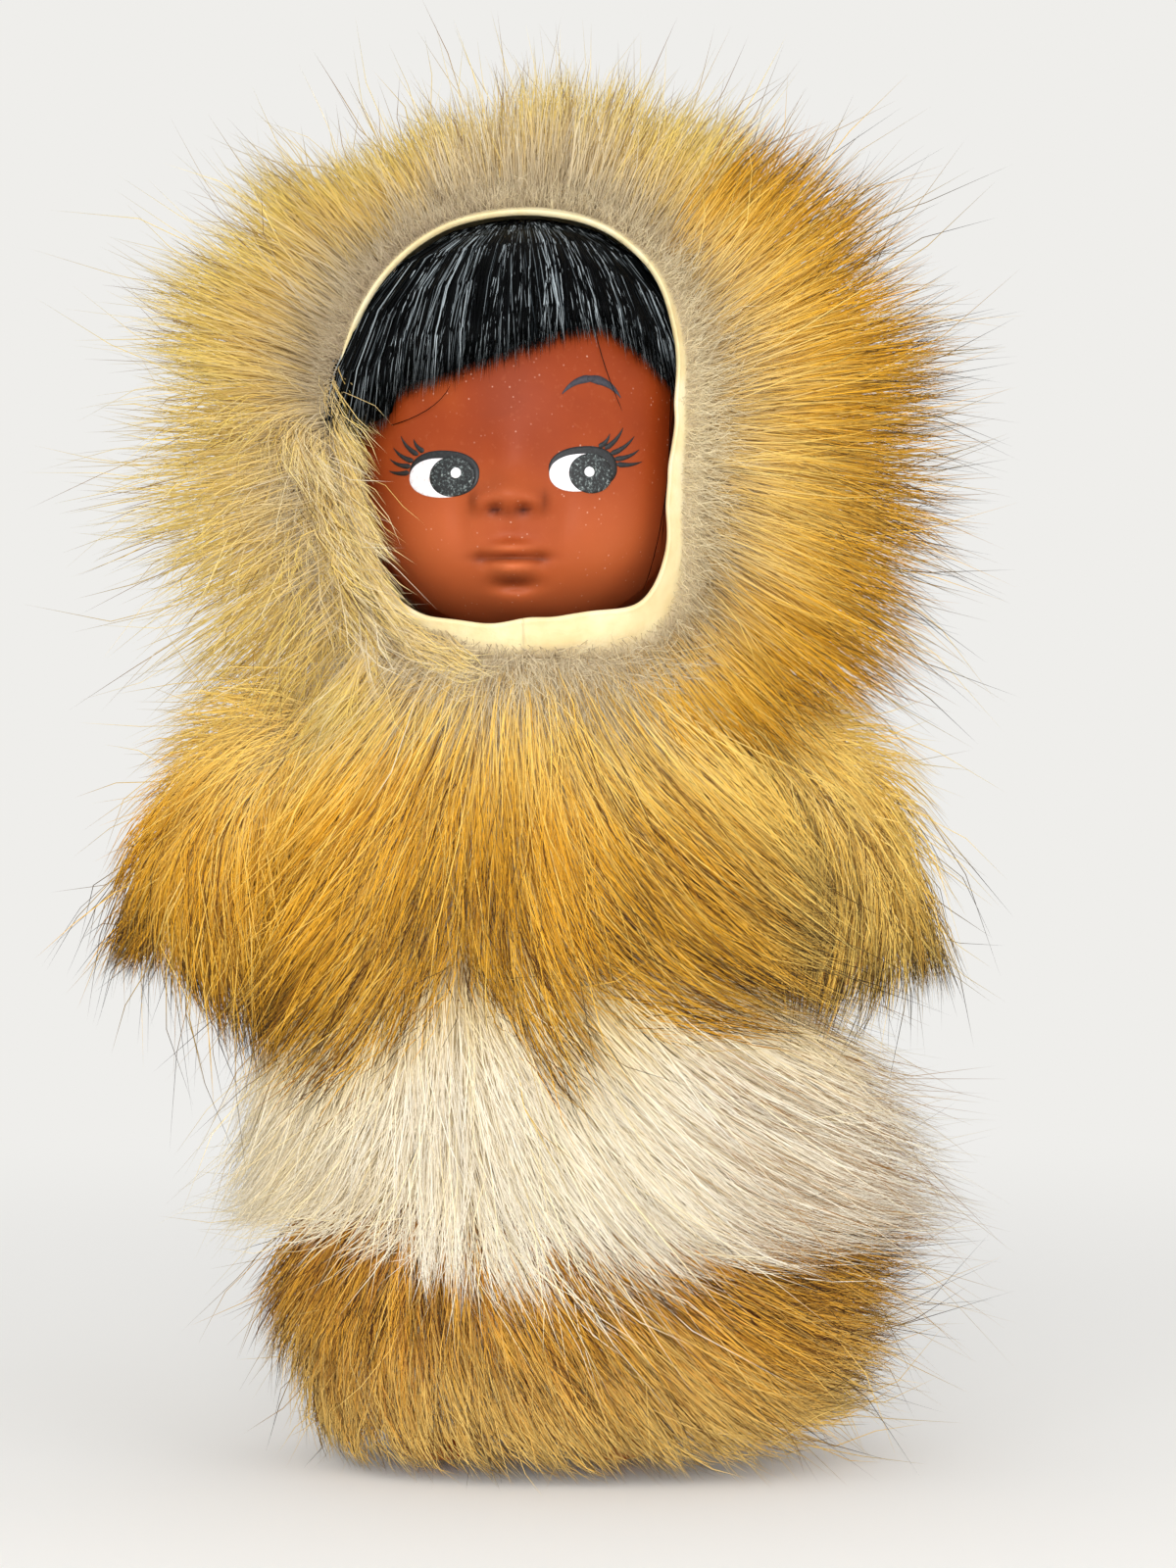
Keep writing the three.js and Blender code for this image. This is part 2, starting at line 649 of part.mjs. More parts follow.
function coatFur() {
  const top = hoodBottom - gap;
  const stations = [
    { z: coatFurBottom, halfDepth: chestFurDepth - 5 },
    { z: coatFurBottom + 9, halfDepth: chestFurDepth - 1 },
    { z: coatFurBottom + 30, halfDepth: chestFurDepth },
    { z: shoulderHeight, halfDepth: chestFurDepth - 1 },
    { z: top - 7, halfDepth: collarFurDepth + 3.5 },
    { z: top, halfDepth: collarFurDepth },
  ];
  const envelope = loft(stations.map(({ z, halfDepth }) => levelRing({
    z, halfDepth, halfWidth: coatFurHalfWidth + chestFurRounding, power: 2.6, count: 36,
  })));
  return envelope
    .intersect(slab('x', -coatFurHalfWidth, coatFurHalfWidth))
    .intersect(slab('y', -far, backFurDepth))
    .subtract(outsideOfHide)
    .subtract(slab('y', -chestHalfDepth / 2, chestHalfDepth / 2));
}

addFrontAndBack('coat_fur', coatFur(), goldFur);

// Half sizes between the three stations follow a smooth step, so the skirt swells and draws in
function skirtRing(z) {
  const [upper, lower] = z > skirtFull.z ? [skirtTop, skirtFull] : [skirtFull, skirtHem];
  const share = (z - lower.z) / (upper.z - lower.z);
  const bend = z > skirtFull.z ? share ** 2 : 1 - (1 - share) ** 2;
  const between = (size) => THREE.MathUtils.lerp(lower[size], upper[size], bend);
  return levelRing({
    z,
    lean: between('lean'),
    halfWidth: between('halfWidth'),
    halfDepth: between('halfDepth'),
    power: 2.3,
    count: 32,
  });
}

function skirtFur(bottom, top, steps) {
  const rings = Array.from({ length: steps + 1 }, (_, step) => {
    return skirtRing(bottom + ((top - bottom) * step) / steps);
  });
  return loft(rings).subtract(outsideOfHide);
}

addFrontAndBack('white_band_fur', skirtFur(whiteFurBottom, coatFurBottom - gap, 4), whiteFur);
addFrontAndBack('hem_band_fur', skirtFur(skirtHem.z, whiteFurBottom - gap, 4), brownFur);

// Hood: two pelts sewn over the crown along a slanted seam, open round the face

const mouthBottom = shoulderHeight + mouthBottomRise;
const mouthMiddle = mouthBottom + mouthHeight / 2;

function mouth(wider, back) {
  return loft([
    uprightRing({ y: -far, z: mouthMiddle, halfWidth: mouthHalfWidth + wider, halfHeight: mouthHeight / 2 + wider }),
    uprightRing({ y: back, z: mouthMiddle, halfWidth: mouthHalfWidth + wider, halfHeight: mouthHeight / 2 + wider }),
  ]);
}

function hoodHide() {
  return egg(hoodOutside, hoodJawHeight)
    .subtract(egg(hoodInside, hoodJawHeight))
    .subtract(mouth(0, -mouthSetback))
    .intersect(slab('z', hoodBottom, far));
}

function hoodFur() {
  const depth = ruffFront + ruffBack;
  const stations = [
    { along: 0, share: 0.79 },
    { along: 0.05, share: 0.91 },
    { along: 0.15, share: 0.985 },
    { along: 0.29, share: 1 },
    { along: 0.56, share: 0.93 },
    { along: 0.74, share: 0.77 },
    { along: 0.9, share: 0.53 },
    { along: 1, share: 0.28 },
  ];
  const envelope = loft(stations.map(({ along, share }) => uprightRing({
    y: -ruffFront + along * depth,
    z: headMiddle - ruffMiddle,
    halfWidth: ruffHalfWidth * share,
    halfHeight: ruffHalfHeight * share,
    power: 2.2,
    count: 32,
  })));
  const funnel = [
    { y: -ruffFront - 1, wider: mouthFlare },
    { y: -mouthRim, wider: 1 },
    { y: -mouthSetback, wider: 0 },
  ];
  const flared = loft(funnel.map(({ y, wider }) => uprightRing({
    y,
    z: mouthMiddle,
    halfWidth: mouthHalfWidth + wider,
    halfHeight: mouthHeight / 2 + wider,
  })));
  return envelope
    .subtract(egg(hoodOutside + gap, hoodJawHeight))
    .subtract(flared)
    .intersect(slab('z', hoodBottom, far));
}

// The left pelt lies between the slanted seam and the middle of the nape
function leftPelt(inset) {
  const tilt = THREE.MathUtils.degToRad(peltSeamAngle);
  const outline = new THREE.Shape();
  outline.moveTo(inset, -far);
  outline.lineTo(inset, inset);
  outline.lineTo(inset + far * Math.sin(tilt), inset + far * Math.cos(tilt));
  outline.lineTo(2 * far, far);
  outline.lineTo(2 * far, -far);
  outline.closePath();
  const geometry = new THREE.ExtrudeGeometry(outline, { depth: 2 * far, bevelEnabled: false });
  geometry.rotateX(Math.PI / 2);
  return solidOf(geometry.translate(0, far, headMiddle));
}

for (const [name, solid, leftSurface, rightSurface] of [
  ['hood_hide', hoodHide(), hide, hide],
  ['hood_fur', hoodFur(), goldFur, strawFur],
]) {
  addPiece(doll, `${name}_left`, solid.intersect(leftPelt(gap / 2)), leftSurface());
  addPiece(doll, `${name}_right`, solid.subtract(leftPelt(-gap / 2)), rightSurface());
}

// The hood reaches further back than the chest reaches forward, so the doll stands ahead of the
// middle of its depth
doll.position.y = (chestFurDepth - ruffBack) / 2;

export default doll;
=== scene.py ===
# A jointed vinyl doll in a hooded coat of fox pelts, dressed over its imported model.
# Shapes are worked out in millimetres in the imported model's frame: +Z up, the doll faces -Y.
import json
import math

import bpy
import numpy as np
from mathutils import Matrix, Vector


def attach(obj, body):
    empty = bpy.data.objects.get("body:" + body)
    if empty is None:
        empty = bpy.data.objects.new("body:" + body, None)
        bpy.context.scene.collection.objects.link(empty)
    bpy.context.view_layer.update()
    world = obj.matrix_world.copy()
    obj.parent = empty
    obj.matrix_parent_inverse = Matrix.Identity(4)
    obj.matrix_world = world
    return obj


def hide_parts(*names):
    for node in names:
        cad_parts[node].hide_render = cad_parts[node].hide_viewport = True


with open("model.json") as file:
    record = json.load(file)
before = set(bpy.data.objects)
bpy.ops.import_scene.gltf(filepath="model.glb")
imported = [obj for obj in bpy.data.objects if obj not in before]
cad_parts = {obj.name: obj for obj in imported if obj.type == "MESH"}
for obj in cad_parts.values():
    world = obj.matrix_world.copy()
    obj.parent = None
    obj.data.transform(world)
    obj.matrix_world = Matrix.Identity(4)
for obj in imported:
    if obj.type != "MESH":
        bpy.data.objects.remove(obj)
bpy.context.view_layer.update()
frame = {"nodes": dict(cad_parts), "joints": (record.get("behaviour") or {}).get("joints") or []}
joints = {joint["name"]: joint for joint in frame["joints"]}
axisY = joints["neck_swivel"]["pos_m"][1] * 1000
neckSeat = joints["neck_swivel"]["pos_m"][2] * 1000
shoulderZ = joints["left_shoulder"]["pos_m"][2] * 1000
hipZ = joints["left_hip"]["pos_m"][2] * 1000
thin = 1   # every count of hairs and strands is divided by this
dice = np.random.default_rng(7)
cellsPerMm = 1000.0   # Blender scales a pattern in cells a metre


# Small helpers

def linearColor(hexColor):
    # linear = c / 12.92 below 0.04045, else ((c + 0.055) / 1.055) ^ 2.4
    channels = [int(hexColor[i:i + 2], 16) / 255 for i in (1, 3, 5)]
    return tuple(c / 12.92 if c <= 0.04045 else ((c + 0.055) / 1.055) ** 2.4 for c in channels) + (1.0,)


def unit(vectors):
    # each vector over its own length
    return vectors / np.maximum(np.linalg.norm(vectors, axis=-1, keepdims=True), 1e-9)


def smooth(edge0, edge1, value):
    # t^2 (3 - 2t) for t = (value - edge0) / (edge1 - edge0), held to 0..1
    t = np.clip((value - edge0) / (edge1 - edge0), 0, 1)
    return t * t * (3 - 2 * t)


def mixed(a, b, share):
    # a + (b - a) share
    return a + (b - a) * share


def bells(across, up, forms):
    # the sum of size exp(-(du^2 + dv^2) / 2) over forms of place, height, two spreads and size, where
    # du and dv are the ways from the place and the height over the spreads
    return sum(size * np.exp(-(((across - place) / wide) ** 2 + ((up - height) / tall) ** 2) / 2)
               for place, height, wide, tall, size in forms)


def meshPiece(name, points, faces, body, material, node=(), uv=None, attributes=None):
    # points are millimetres, faces an array with three or four corners a row
    points = np.asarray(points, dtype=np.float64).reshape(-1, 3)
    faces = np.asarray(faces, dtype=np.int32)
    corners = faces.shape[1]
    mesh = bpy.data.meshes.new(name)
    mesh.vertices.add(len(points))
    mesh.vertices.foreach_set("co", (points / 1000).ravel())
    mesh.loops.add(faces.size)
    mesh.loops.foreach_set("vertex_index", faces.ravel())
    mesh.polygons.add(len(faces))
    mesh.polygons.foreach_set("loop_start", np.arange(0, faces.size, corners, dtype=np.int32))
    mesh.polygons.foreach_set("use_smooth", np.ones(len(faces), dtype=bool))
    for key, values in (attributes or {}).items():
        layer = mesh.attributes.new(key, "FLOAT", "POINT")
        layer.data.foreach_set("value", np.asarray(values, dtype=np.float32).ravel())
    if uv is not None:
        layer = mesh.uv_layers.new(name="OFBake")
        layer.data.foreach_set("uv", np.asarray(uv, dtype=np.float32)[faces.ravel()].ravel())
    mesh.update(calc_edges=True)
    mesh.materials.append(material)
    piece = bpy.data.objects.new(name, mesh)
    bpy.context.scene.collection.objects.link(piece)
    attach(piece, body)
    if node:
        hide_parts(*node)
    return piece


def gridFaces(rows, columns, wrap=False, first=0):
    # quads between neighbouring rows and columns; wrap joins the last column to the first
    row = np.arange(rows - 1)[:, None]
    column = np.arange(columns if wrap else columns - 1)[None, :]
    after = (column + 1) % columns
    a, b = row * columns + column, row * columns + after
    return first + np.stack([a, b, b + columns, a + columns], axis=-1).reshape(-1, 4)


def lastToFirst(rows, columns):
    # quads from a ring-shaped surface's last row back to its first
    column = np.arange(columns)
    after = (column + 1) % columns
    last = (rows - 1) * columns
    return np.stack([last + column, last + after, after, column], axis=-1)


def ringFaces(rows, columns):
    # a surface closed both ways: each row runs round, and the last row meets the first
    return np.concatenate([gridFaces(rows, columns, wrap=True), lastToFirst(rows, columns)])


def foldedFaces(rows, columns):
    # a folded sheet, whose even number of rows runs out and back: closes its last row to its first
    # and its two ends, each row to the one it lies on
    column = np.arange(columns - 1)
    last = (rows - 1) * columns
    faces = [gridFaces(rows, columns),
             np.stack([last + column, last + column + 1, column + 1, column], axis=-1)]
    row = np.arange(rows // 2)
    for column, turned in ((0, True), (columns - 1, False)):
        low, high = row * columns + column, (rows - 1 - row) * columns + column
        strip = np.stack([low[:-1], high[:-1], high[1:], low[1:]], axis=-1)
        faces.append(strip[:, ::-1] if turned else strip)
    return np.concatenate(faces)


def addNode(tree, kind, settings=None, inputs=None, stops=()):
    # settings are the node's own options, inputs are values or other nodes' outputs by socket, and
    # stops are a colour ramp's pairs of place and hex colour
    node = tree.nodes.new(kind)
    for key, value in (settings or {}).items():
        setattr(node, key, value)
    for key, value in (inputs or {}).items():
        if isinstance(value, bpy.types.NodeSocket):
            tree.links.new(value, node.inputs[key])
        else:
            node.inputs[key].default_value = value
    for index, (place, color) in enumerate(stops):
        elements = node.color_ramp.elements
        element = elements[index] if index < len(elements) else elements.new(place)
        element.position = place
        element.color = linearColor(color)
    return node


# A Mix node has sockets of one name for numbers and colours, so its colour sockets go by number
colorMix = {"data_type": "RGBA"}
colorMultiply = {"data_type": "RGBA", "blend_type": "MULTIPLY"}
mixFactor, mixFirst, mixSecond, mixResult = 0, 6, 7, 2


def newMaterial(name, finish):
    # finish holds the shader's own values by socket
    material = bpy.data.materials.new(name)
    material.use_nodes = True
    tree = material.node_tree
    shader = tree.nodes["Principled BSDF"]
    for key, value in finish.items():
        shader.inputs[key].default_value = value
    return material, tree, shader


# Head: an egg with the face raised out of it
head = {
    "radius": 36.0, "jaw": 42.0, "crown": 43.0,
    "crownPower": 2.3, "jawPower": 2.6, "sidePower": 2.2,   # how square the egg is above, below and across
    "neckHole": 9.2, "wall": 2.4, "neckRim": 4.2,
    "columns": 216, "rows": 150,
}
headZ = neckSeat + head["jaw"]   # the head is widest here

# Forms of the face: place across it and above the neck seat, spread and rise, all in millimetres
faceForms = {
    "nose": (-2.8, 27.8, 4.0, 3.3, 3.7),
    "noseTip": (-2.9, 27.8, 2.3, 1.7, 1.7),
    "noseBridge": (-2.0, 35.5, 3.4, 5.0, 1.1),
    "leftWing": (2.2, 26.6, 1.8, 1.6, 2.1),
    "rightWing": (-8.0, 26.6, 1.8, 1.6, 2.1),
    "underNose": (-2.8, 24.0, 4.2, 1.0, -0.8),
    "leftNostril": (0.1, 25.2, 0.9, 0.65, -3.2),
    "rightNostril": (-5.7, 25.2, 0.9, 0.65, -3.2),
    "muzzle": (-2.4, 15.6, 7.0, 5.6, 2.6),
    "philtrum": (-2.7, 20.8, 1.1, 1.5, -0.6),
    "upperLip": (-2.6, 17.3, 3.5, 1.0, 3.2),
    "lipLine": (-2.6, 15.6, 4.4, 0.5, -3.2),
    "lipCornerLeft": (3.5, 15.4, 1.3, 1.2, -0.9),
    "lipCornerRight": (-8.8, 15.4, 1.3, 1.2, -0.9),
    "lowerLip": (-2.3, 13.3, 2.9, 1.4, 5.2),
    "lipHollow": (-2.3, 10.3, 3.4, 1.0, -2.8),
    "chin": (-1.4, 7.0, 7.0, 3.4, 2.4),
    "leftCheek": (17.0, 18.5, 9.0, 8.0, 1.9),
    "rightCheek": (-20.0, 18.5, 9.0, 8.0, 1.9),
    "leftFold": (8.8, 22.5, 1.6, 4.0, -0.7),
    "rightFold": (-13.8, 22.5, 1.6, 4.0, -0.7),
    "leftSocket": (13.6, 33.0, 6.5, 4.6, -1.2),
    "rightSocket": (-14.8, 33.0, 6.5, 4.6, -1.2),
    "leftEyeball": (13.0, 32.6, 4.8, 3.4, 0.9),
    "rightEyeball": (-15.4, 32.2, 4.8, 3.4, 0.9),
    "forehead": (0.0, 52.0, 16.0, 10.0, 0.9),
}


# Tints on the face, in the same measures: painted light, which makes the cheeks, nose, lips and chin paler, and
# painted shade in the creases
faceTints = {
    # painted light: paler on the cheeks and chin, and painted highlights on the nose and lips
    "painted_light": [
        (-20, 16, 11, 10, 0.75), (19, 16, 11, 10, 0.7),   # cheeks
        (-2.8, 28, 5, 4, 0.35),   # nose
        (-2.3, 14.0, 2.9, 1.1, 1.1), (-2.6, 17.0, 3.4, 0.8, 0.5),   # lips
        (0, 5, 14, 5, 0.7),   # chin
    ],
    # painted shade: darker along the mouth, under the lower lip and in and beside the nostrils
    "painted_shade": [
        (-2.6, 15.6, 4.4, 0.45, 0.8), (3.7, 15.4, 1.2, 1.0, 0.4), (-8.9, 15.4, 1.2, 1.0, 0.4),   # mouth
        (-2.3, 10.8, 3.0, 0.8, 0.6),   # under the lip
        (0.1, 25.2, 0.9, 0.6, 0.9), (-5.7, 25.2, 0.9, 0.6, 0.9), (-2.8, 24.3, 3.8, 0.8, 0.4),   # nostrils
        (4.4, 26.8, 0.6, 1.6, 0.5), (-10.2, 26.8, 0.6, 1.6, 0.5),   # beside them
    ],
}


def eggRadius(z, grow=0.0, jaw=None):
    # (R + grow) (1 - (|z - headZ| / height) ^ p) ^ (1 / sidePower), p by the crown's or the jaw's power
    jaw = head["jaw"] if jaw is None else jaw
    above = z > headZ
    height = np.where(above, head["crown"], jaw) + grow
    share = np.minimum(np.abs(z - headZ) / height, 1)
    power = np.where(above, head["crownPower"], head["jawPower"])
    return (head["radius"] + grow) * (1 - share ** power) ** (1 / head["sidePower"])


def faceRise(angle, z):
    # the bells of the face's forms, over the arc length across and the height
    across = head["radius"] * np.where(angle > math.pi, angle - 2 * math.pi, angle)
    return bells(across, z - neckSeat, faceForms.values())


def faceDepth(x, z, lift=0.0):
    # the face's Y at a place seen from in front: radius = egg + rise at angle asin(x / radius)
    radius = eggRadius(z)
    for _ in range(3):
        angle = np.arcsin(np.clip(x / np.maximum(radius, 1), -0.999, 0.999))
        radius = eggRadius(z) + faceRise(angle, z) + lift
    return axisY - np.sqrt(np.maximum(radius ** 2 - x ** 2, 0))


def eggHeights(count, grow):
    # even steps of an angle from the bottom pole to the top one, drawn towards the poles
    angle = np.linspace(-0.5, 0.5, count) * math.pi
    height = np.where(angle > 0, head["crown"], head["jaw"]) + grow
    return headZ + np.sign(angle) * height * np.abs(np.sin(angle)) ** 0.85


def headSurface():
    # rows run from the neck hole up the outside to the crown, and from the crown down the inside
    outside = np.linspace(0, 1, head["rows"])
    bottom = neckSeat + 0.5
    z = bottom + (headZ + head["crown"] - bottom) * (0.5 - 0.5 * np.cos(math.pi * outside))
    angle = np.linspace(0, 2 * math.pi, head["columns"], endpoint=False)[None, :]
    radius = eggRadius(z)[:, None] + faceRise(angle, z[:, None])
    radius[0] = head["neckHole"]
    radius[-1] = 0.05
    inside = eggHeights(30, -head["wall"])[::-1]
    rim = neckSeat + head["neckRim"]
    inside = inside[inside > rim]
    insideRadius = np.maximum(eggRadius(inside, -head["wall"]), 0.05)
    insideRadius = np.append(insideRadius, head["neckHole"])
    inside = np.append(inside, rim)
    z = np.concatenate([z, inside])[:, None] + 0 * angle
    radius = np.concatenate([radius, insideRadius[:, None] + 0 * angle])
    x = radius * np.sin(angle)
    y = axisY - radius * np.cos(angle)
    return np.stack([x, y, z], axis=-1).reshape(-1, 3), ringFaces(*z.shape)


def vinylMaterial():
    # rotation-moulded vinyl: satin, faintly mottled, rubbed paler in a fine grain, with painted light on the cheeks,
    # nose, lips and chin and painted shade in the creases
    material, tree, shader = newMaterial("brown-red moulded vinyl", {
        "Roughness": 0.5, "Specular IOR Level": 0.2,
        "Subsurface Weight": 0.05, "Subsurface Radius": (0.004, 0.0016, 0.0008), "Subsurface Scale": 0.6})
    place = addNode(tree, "ShaderNodeTexCoord").outputs["Object"]
    # mottling of about 17 mm, and a grain of about 1 mm
    mottle = addNode(tree, "ShaderNodeTexNoise", inputs={
        "Vector": place, "Scale": 0.06 * cellsPerMm, "Detail": 3.0}).outputs["Fac"]
    grain = addNode(tree, "ShaderNodeTexNoise", inputs={
        "Vector": place, "Scale": 0.9 * cellsPerMm, "Detail": 2.0}).outputs["Fac"]
    base = addNode(tree, "ShaderNodeValToRGB", inputs={"Fac": mottle}, stops=[
        (0.3, "#85320D"), (0.52, "#8E370F"), (0.72, "#984014")]).outputs["Color"]
    # painted light: a paler tint on the cheeks, nose, lips and chin
    painted_light = addNode(tree, "ShaderNodeAttribute", {"attribute_name": "painted_light"}).outputs["Fac"]
    warm = addNode(tree, "ShaderNodeMix", colorMix, {
        mixFactor: painted_light, mixFirst: base, mixSecond: linearColor("#BE6236")}).outputs[mixResult]
    worn = addNode(tree, "ShaderNodeValToRGB", inputs={"Fac": grain}, stops=[
        (0.6, "#000000"), (0.78, "#6A6A6A")]).outputs["Color"]
    rubbed = addNode(tree, "ShaderNodeMix", colorMix, {
        mixFactor: worn, mixFirst: warm, mixSecond: linearColor("#B86A45")}).outputs[mixResult]
    # specks of dust about 0.3 mm across, one to a cell of 1.6 mm, in patches of about 8 mm
    cells = addNode(tree, "ShaderNodeTexVoronoi", inputs={
        "Vector": place, "Scale": 0.62 * cellsPerMm}).outputs["Distance"]
    patches = addNode(tree, "ShaderNodeTexNoise", inputs={
        "Vector": place, "Scale": 0.13 * cellsPerMm, "Detail": 2.0}).outputs["Fac"]
    specks = addNode(tree, "ShaderNodeValToRGB", inputs={"Fac": cells}, stops=[
        (0.08, "#FFFFFF"), (0.14, "#000000")]).outputs["Color"]
    patchy = addNode(tree, "ShaderNodeValToRGB", inputs={"Fac": patches}, stops=[
        (0.46, "#000000"), (0.6, "#C0C0C0")]).outputs["Color"]
    dust = addNode(tree, "ShaderNodeMix", colorMultiply, {
        mixFactor: 1.0, mixFirst: specks, mixSecond: patchy}).outputs[mixResult]
    dusty = addNode(tree, "ShaderNodeMix", colorMix, {
        mixFactor: dust, mixFirst: rubbed, mixSecond: linearColor("#E0B49C")}).outputs[mixResult]
    # painted shade: a dark brown mixed in along the face's creases
    painted_shade = addNode(tree, "ShaderNodeAttribute", {"attribute_name": "painted_shade"}).outputs["Fac"]
    colored = addNode(tree, "ShaderNodeMix", colorMix, {
        mixFactor: painted_shade, mixFirst: dusty, mixSecond: linearColor("#4E1A08")}).outputs[mixResult]
    tree.links.new(colored, shader.inputs["Base Color"])
    bump = addNode(tree, "ShaderNodeBump", inputs={"Height": grain, "Strength": 0.06, "Distance": 0.0003})
    tree.links.new(bump.outputs["Normal"], shader.inputs["Normal"])
    return material


vinyl = vinylMaterial()


def makeHead():
    # the egg with its face, tinted on the front only
    points, faces = headSurface()
    front = points[:, 1] < axisY - 12
    tints = {name: np.clip(bells(points[:, 0], points[:, 2] - neckSeat, patches), 0, 1) * front
             for name, patches in faceTints.items()}
    meshPiece("vinyl_head", points, faces, "head", vinyl, ["head_shell"], attributes=tints)


makeHead()
print("head made")


# Painted eyes: thin coats of paint on the face, white, then iris, then the spot of light. Each is its
# place across and above the neck seat, half its width and height, and its tilt
eyePaint = {
    "left": {
        "white": (11.3, 32.8, 6.3, 4.1, 0.12), "iris": (13.6, 32.5, 4.4, 4.0), "spot": (13.3, 32.8, 1.0),
        "rimShift": 0.7,
        # lashes from root to point, and how far each bows
        "lashes": [(15.2, 37.9, 17.4, 40.6, -0.4), (16.4, 37.6, 20.1, 42.0, -0.5),
                   (17.6, 36.6, 22.4, 40.4, -0.5), (18.4, 35.6, 23.4, 37.8, -0.5),
                   (18.8, 34.6, 24.0, 35.4, -0.4)],
    },
    "right": {
        "white": (-16.8, 31.9, 6.6, 4.3, -0.08),
        "iris": (-14.4, 31.9, 4.6, 4.05), "spot": (-13.6, 32.6, 1.05),
        "rimShift": 0.8,
        "lashes": [(-20.2, 37.2, -22.3, 39.8, 0.4), (-21.4, 36.6, -25.0, 40.6, 0.5),
                   (-22.4, 35.4, -26.6, 38.4, 0.5), (-23.0, 34.4, -27.4, 36.2, 0.5),
                   (-23.3, 33.2, -27.6, 33.8, 0.4)],
    },
    # two strokes from the brow's peak, with half their widths
    "brow": [(14.6, 51.6, 7.8, 48.2, -1.0, 1.0), (12.8, 51.5, 19.6, 48.0, 1.1, 1.15)],
    "coat": 0.07, "sunk": 0.25,   # thickness of a coat, and how far each reaches into the face
}


def paintPatch(name, outline, lift, material, rings=10, columns=64):
    # rings shrink from the outline to its middle; Y follows the face, lifted by the paint's coats
    angle = np.linspace(0, 2 * math.pi, columns, endpoint=False)
    shareOut = np.linspace(1, 0.02, rings)[:, None]
    edgeX, edgeZ, middleX, middleZ = outline(angle)
    x = middleX + (edgeX - middleX)[None, :] * shareOut
    z = middleZ + (edgeZ - middleZ)[None, :] * shareOut
    front = np.stack([x, faceDepth(x, z, lift), z], axis=-1)
    back = np.stack([x[::-1], faceDepth(x[::-1], z[::-1], lift - eyePaint["sunk"]), z[::-1]], axis=-1)
    meshPiece(name, np.concatenate([back, front]), ringFaces(2 * rings, columns), "head", material)


def ovalOutline(x, up, halfWide, halfTall, tilt=0.0, squareness=2.0):
    # x = w |cos|^(2/n), z = t |sin|^(2/n), turned by tilt
    def outline(angle):
        across = halfWide * np.sign(np.cos(angle)) * np.abs(np.cos(angle)) ** (2 / squareness)
        upward = halfTall * np.sign(np.sin(angle)) * np.abs(np.sin(angle)) ** (2 / squareness)
        turnedX = across * math.cos(tilt) - upward * math.sin(tilt)
        turnedZ = across * math.sin(tilt) + upward * math.cos(tilt)
        return x + turnedX, neckSeat + up + turnedZ, x, neckSeat + up
    return outline


def paintMaterial(name, stops, cells, roughness):
    # spirit paint sprayed through a mask: a fine grain, given in cells a millimetre
    material, tree, shader = newMaterial(name, {"Roughness": roughness})
    place = addNode(tree, "ShaderNodeTexCoord").outputs["Object"]
    grain = addNode(tree, "ShaderNodeTexNoise", inputs={
        "Vector": place, "Scale": cells * cellsPerMm, "Detail": 4.0, "Roughness": 0.7}).outputs["Fac"]
    color = addNode(tree, "ShaderNodeValToRGB", inputs={"Fac": grain}, stops=stops).outputs["Color"]
    tree.links.new(color, shader.inputs["Base Color"])
    return material


whitePaint = paintMaterial("sprayed white paint", [
    (0.36, "#D9CFCC"), (0.5, "#EFEAEE"), (0.8, "#FBFAFC")], 1.5, 0.5)
irisPaint = paintMaterial("sprayed slate grey paint", [
    (0.42, "#08090A"), (0.52, "#161A1B"), (0.59, "#465050"), (0.69, "#A0A8A4")], 1.8, 0.45)
blackPaint = paintMaterial("sprayed black paint", [(0.35, "#0A0A0B"), (0.7, "#26282B")], 1.9, 0.45)
lightPaint = paintMaterial("clear white paint", [(0.2, "#FFFFFF"), (0.8, "#F4F6F8")], 0.7, 0.35)


def stroke(x0, z0, x1, z1, bend, halfWidth, lift, count=18, peak=0.15):
    # a brushed stroke from its thick root to its point, bowed sideways by bend at its middle
    t = np.linspace(0, 1, count)
    dx, dz = x1 - x0, z1 - z0
    length = math.hypot(dx, dz)
    bow = bend * 4 * t * (1 - t)
    x = x0 + dx * t - dz / length * bow
    z = z0 + dz * t + dx / length * bow
    alongX, alongZ = np.gradient(x), np.gradient(z)
    size = np.hypot(alongX, alongZ)
    width = halfWidth * np.minimum(1, (t + 0.02) / peak) ** 0.5 * np.maximum(1 - t, 0.02) ** 0.7
    sideX, sideZ = -alongZ / size * width, alongX / size * width
    rows = []
    sunk = lift - eyePaint["sunk"]
    for side, depth in ((1, sunk), (1, lift), (0, lift), (-1, lift), (-1, sunk)):
        px, pz = x + side * sideX, neckSeat + z + side * sideZ
        rows.append(np.stack([px, faceDepth(px, pz, depth), pz], axis=-1))
    return np.stack(rows).reshape(-1, 3), count


def strokesPiece(name, strokes, material):
    # five corners round each place on a stroke; a fan closes each end
    points, faces, first = [], [], 0
    for given in strokes:
        rows, count = stroke(**given)
        quads = np.concatenate([gridFaces(5, count, first=first), first + lastToFirst(5, count)[:-1]])
        root = first + count * np.arange(5)
        tip = (root + count - 1)[::-1]
        fans = [(end[0], end[i], end[i + 1]) for end in (root, tip) for i in (1, 2, 3)]
        faces += [quads[:, :3], quads[:, [0, 2, 3]], np.array(fans)]
        points.append(rows)
        first += len(rows)
    meshPiece(name, np.concatenate(points), np.concatenate(faces)[:, ::-1], "head", material)


def lidOutline(side):
    # the dark rim of the painted eye: a little larger than white and iris together
    x, up, wide, tall, tilt = eyePaint[side]["white"]
    return ovalOutline(x + eyePaint[side]["rimShift"], up + 0.65, wide + 0.6, tall + 0.35, tilt, 2.3)


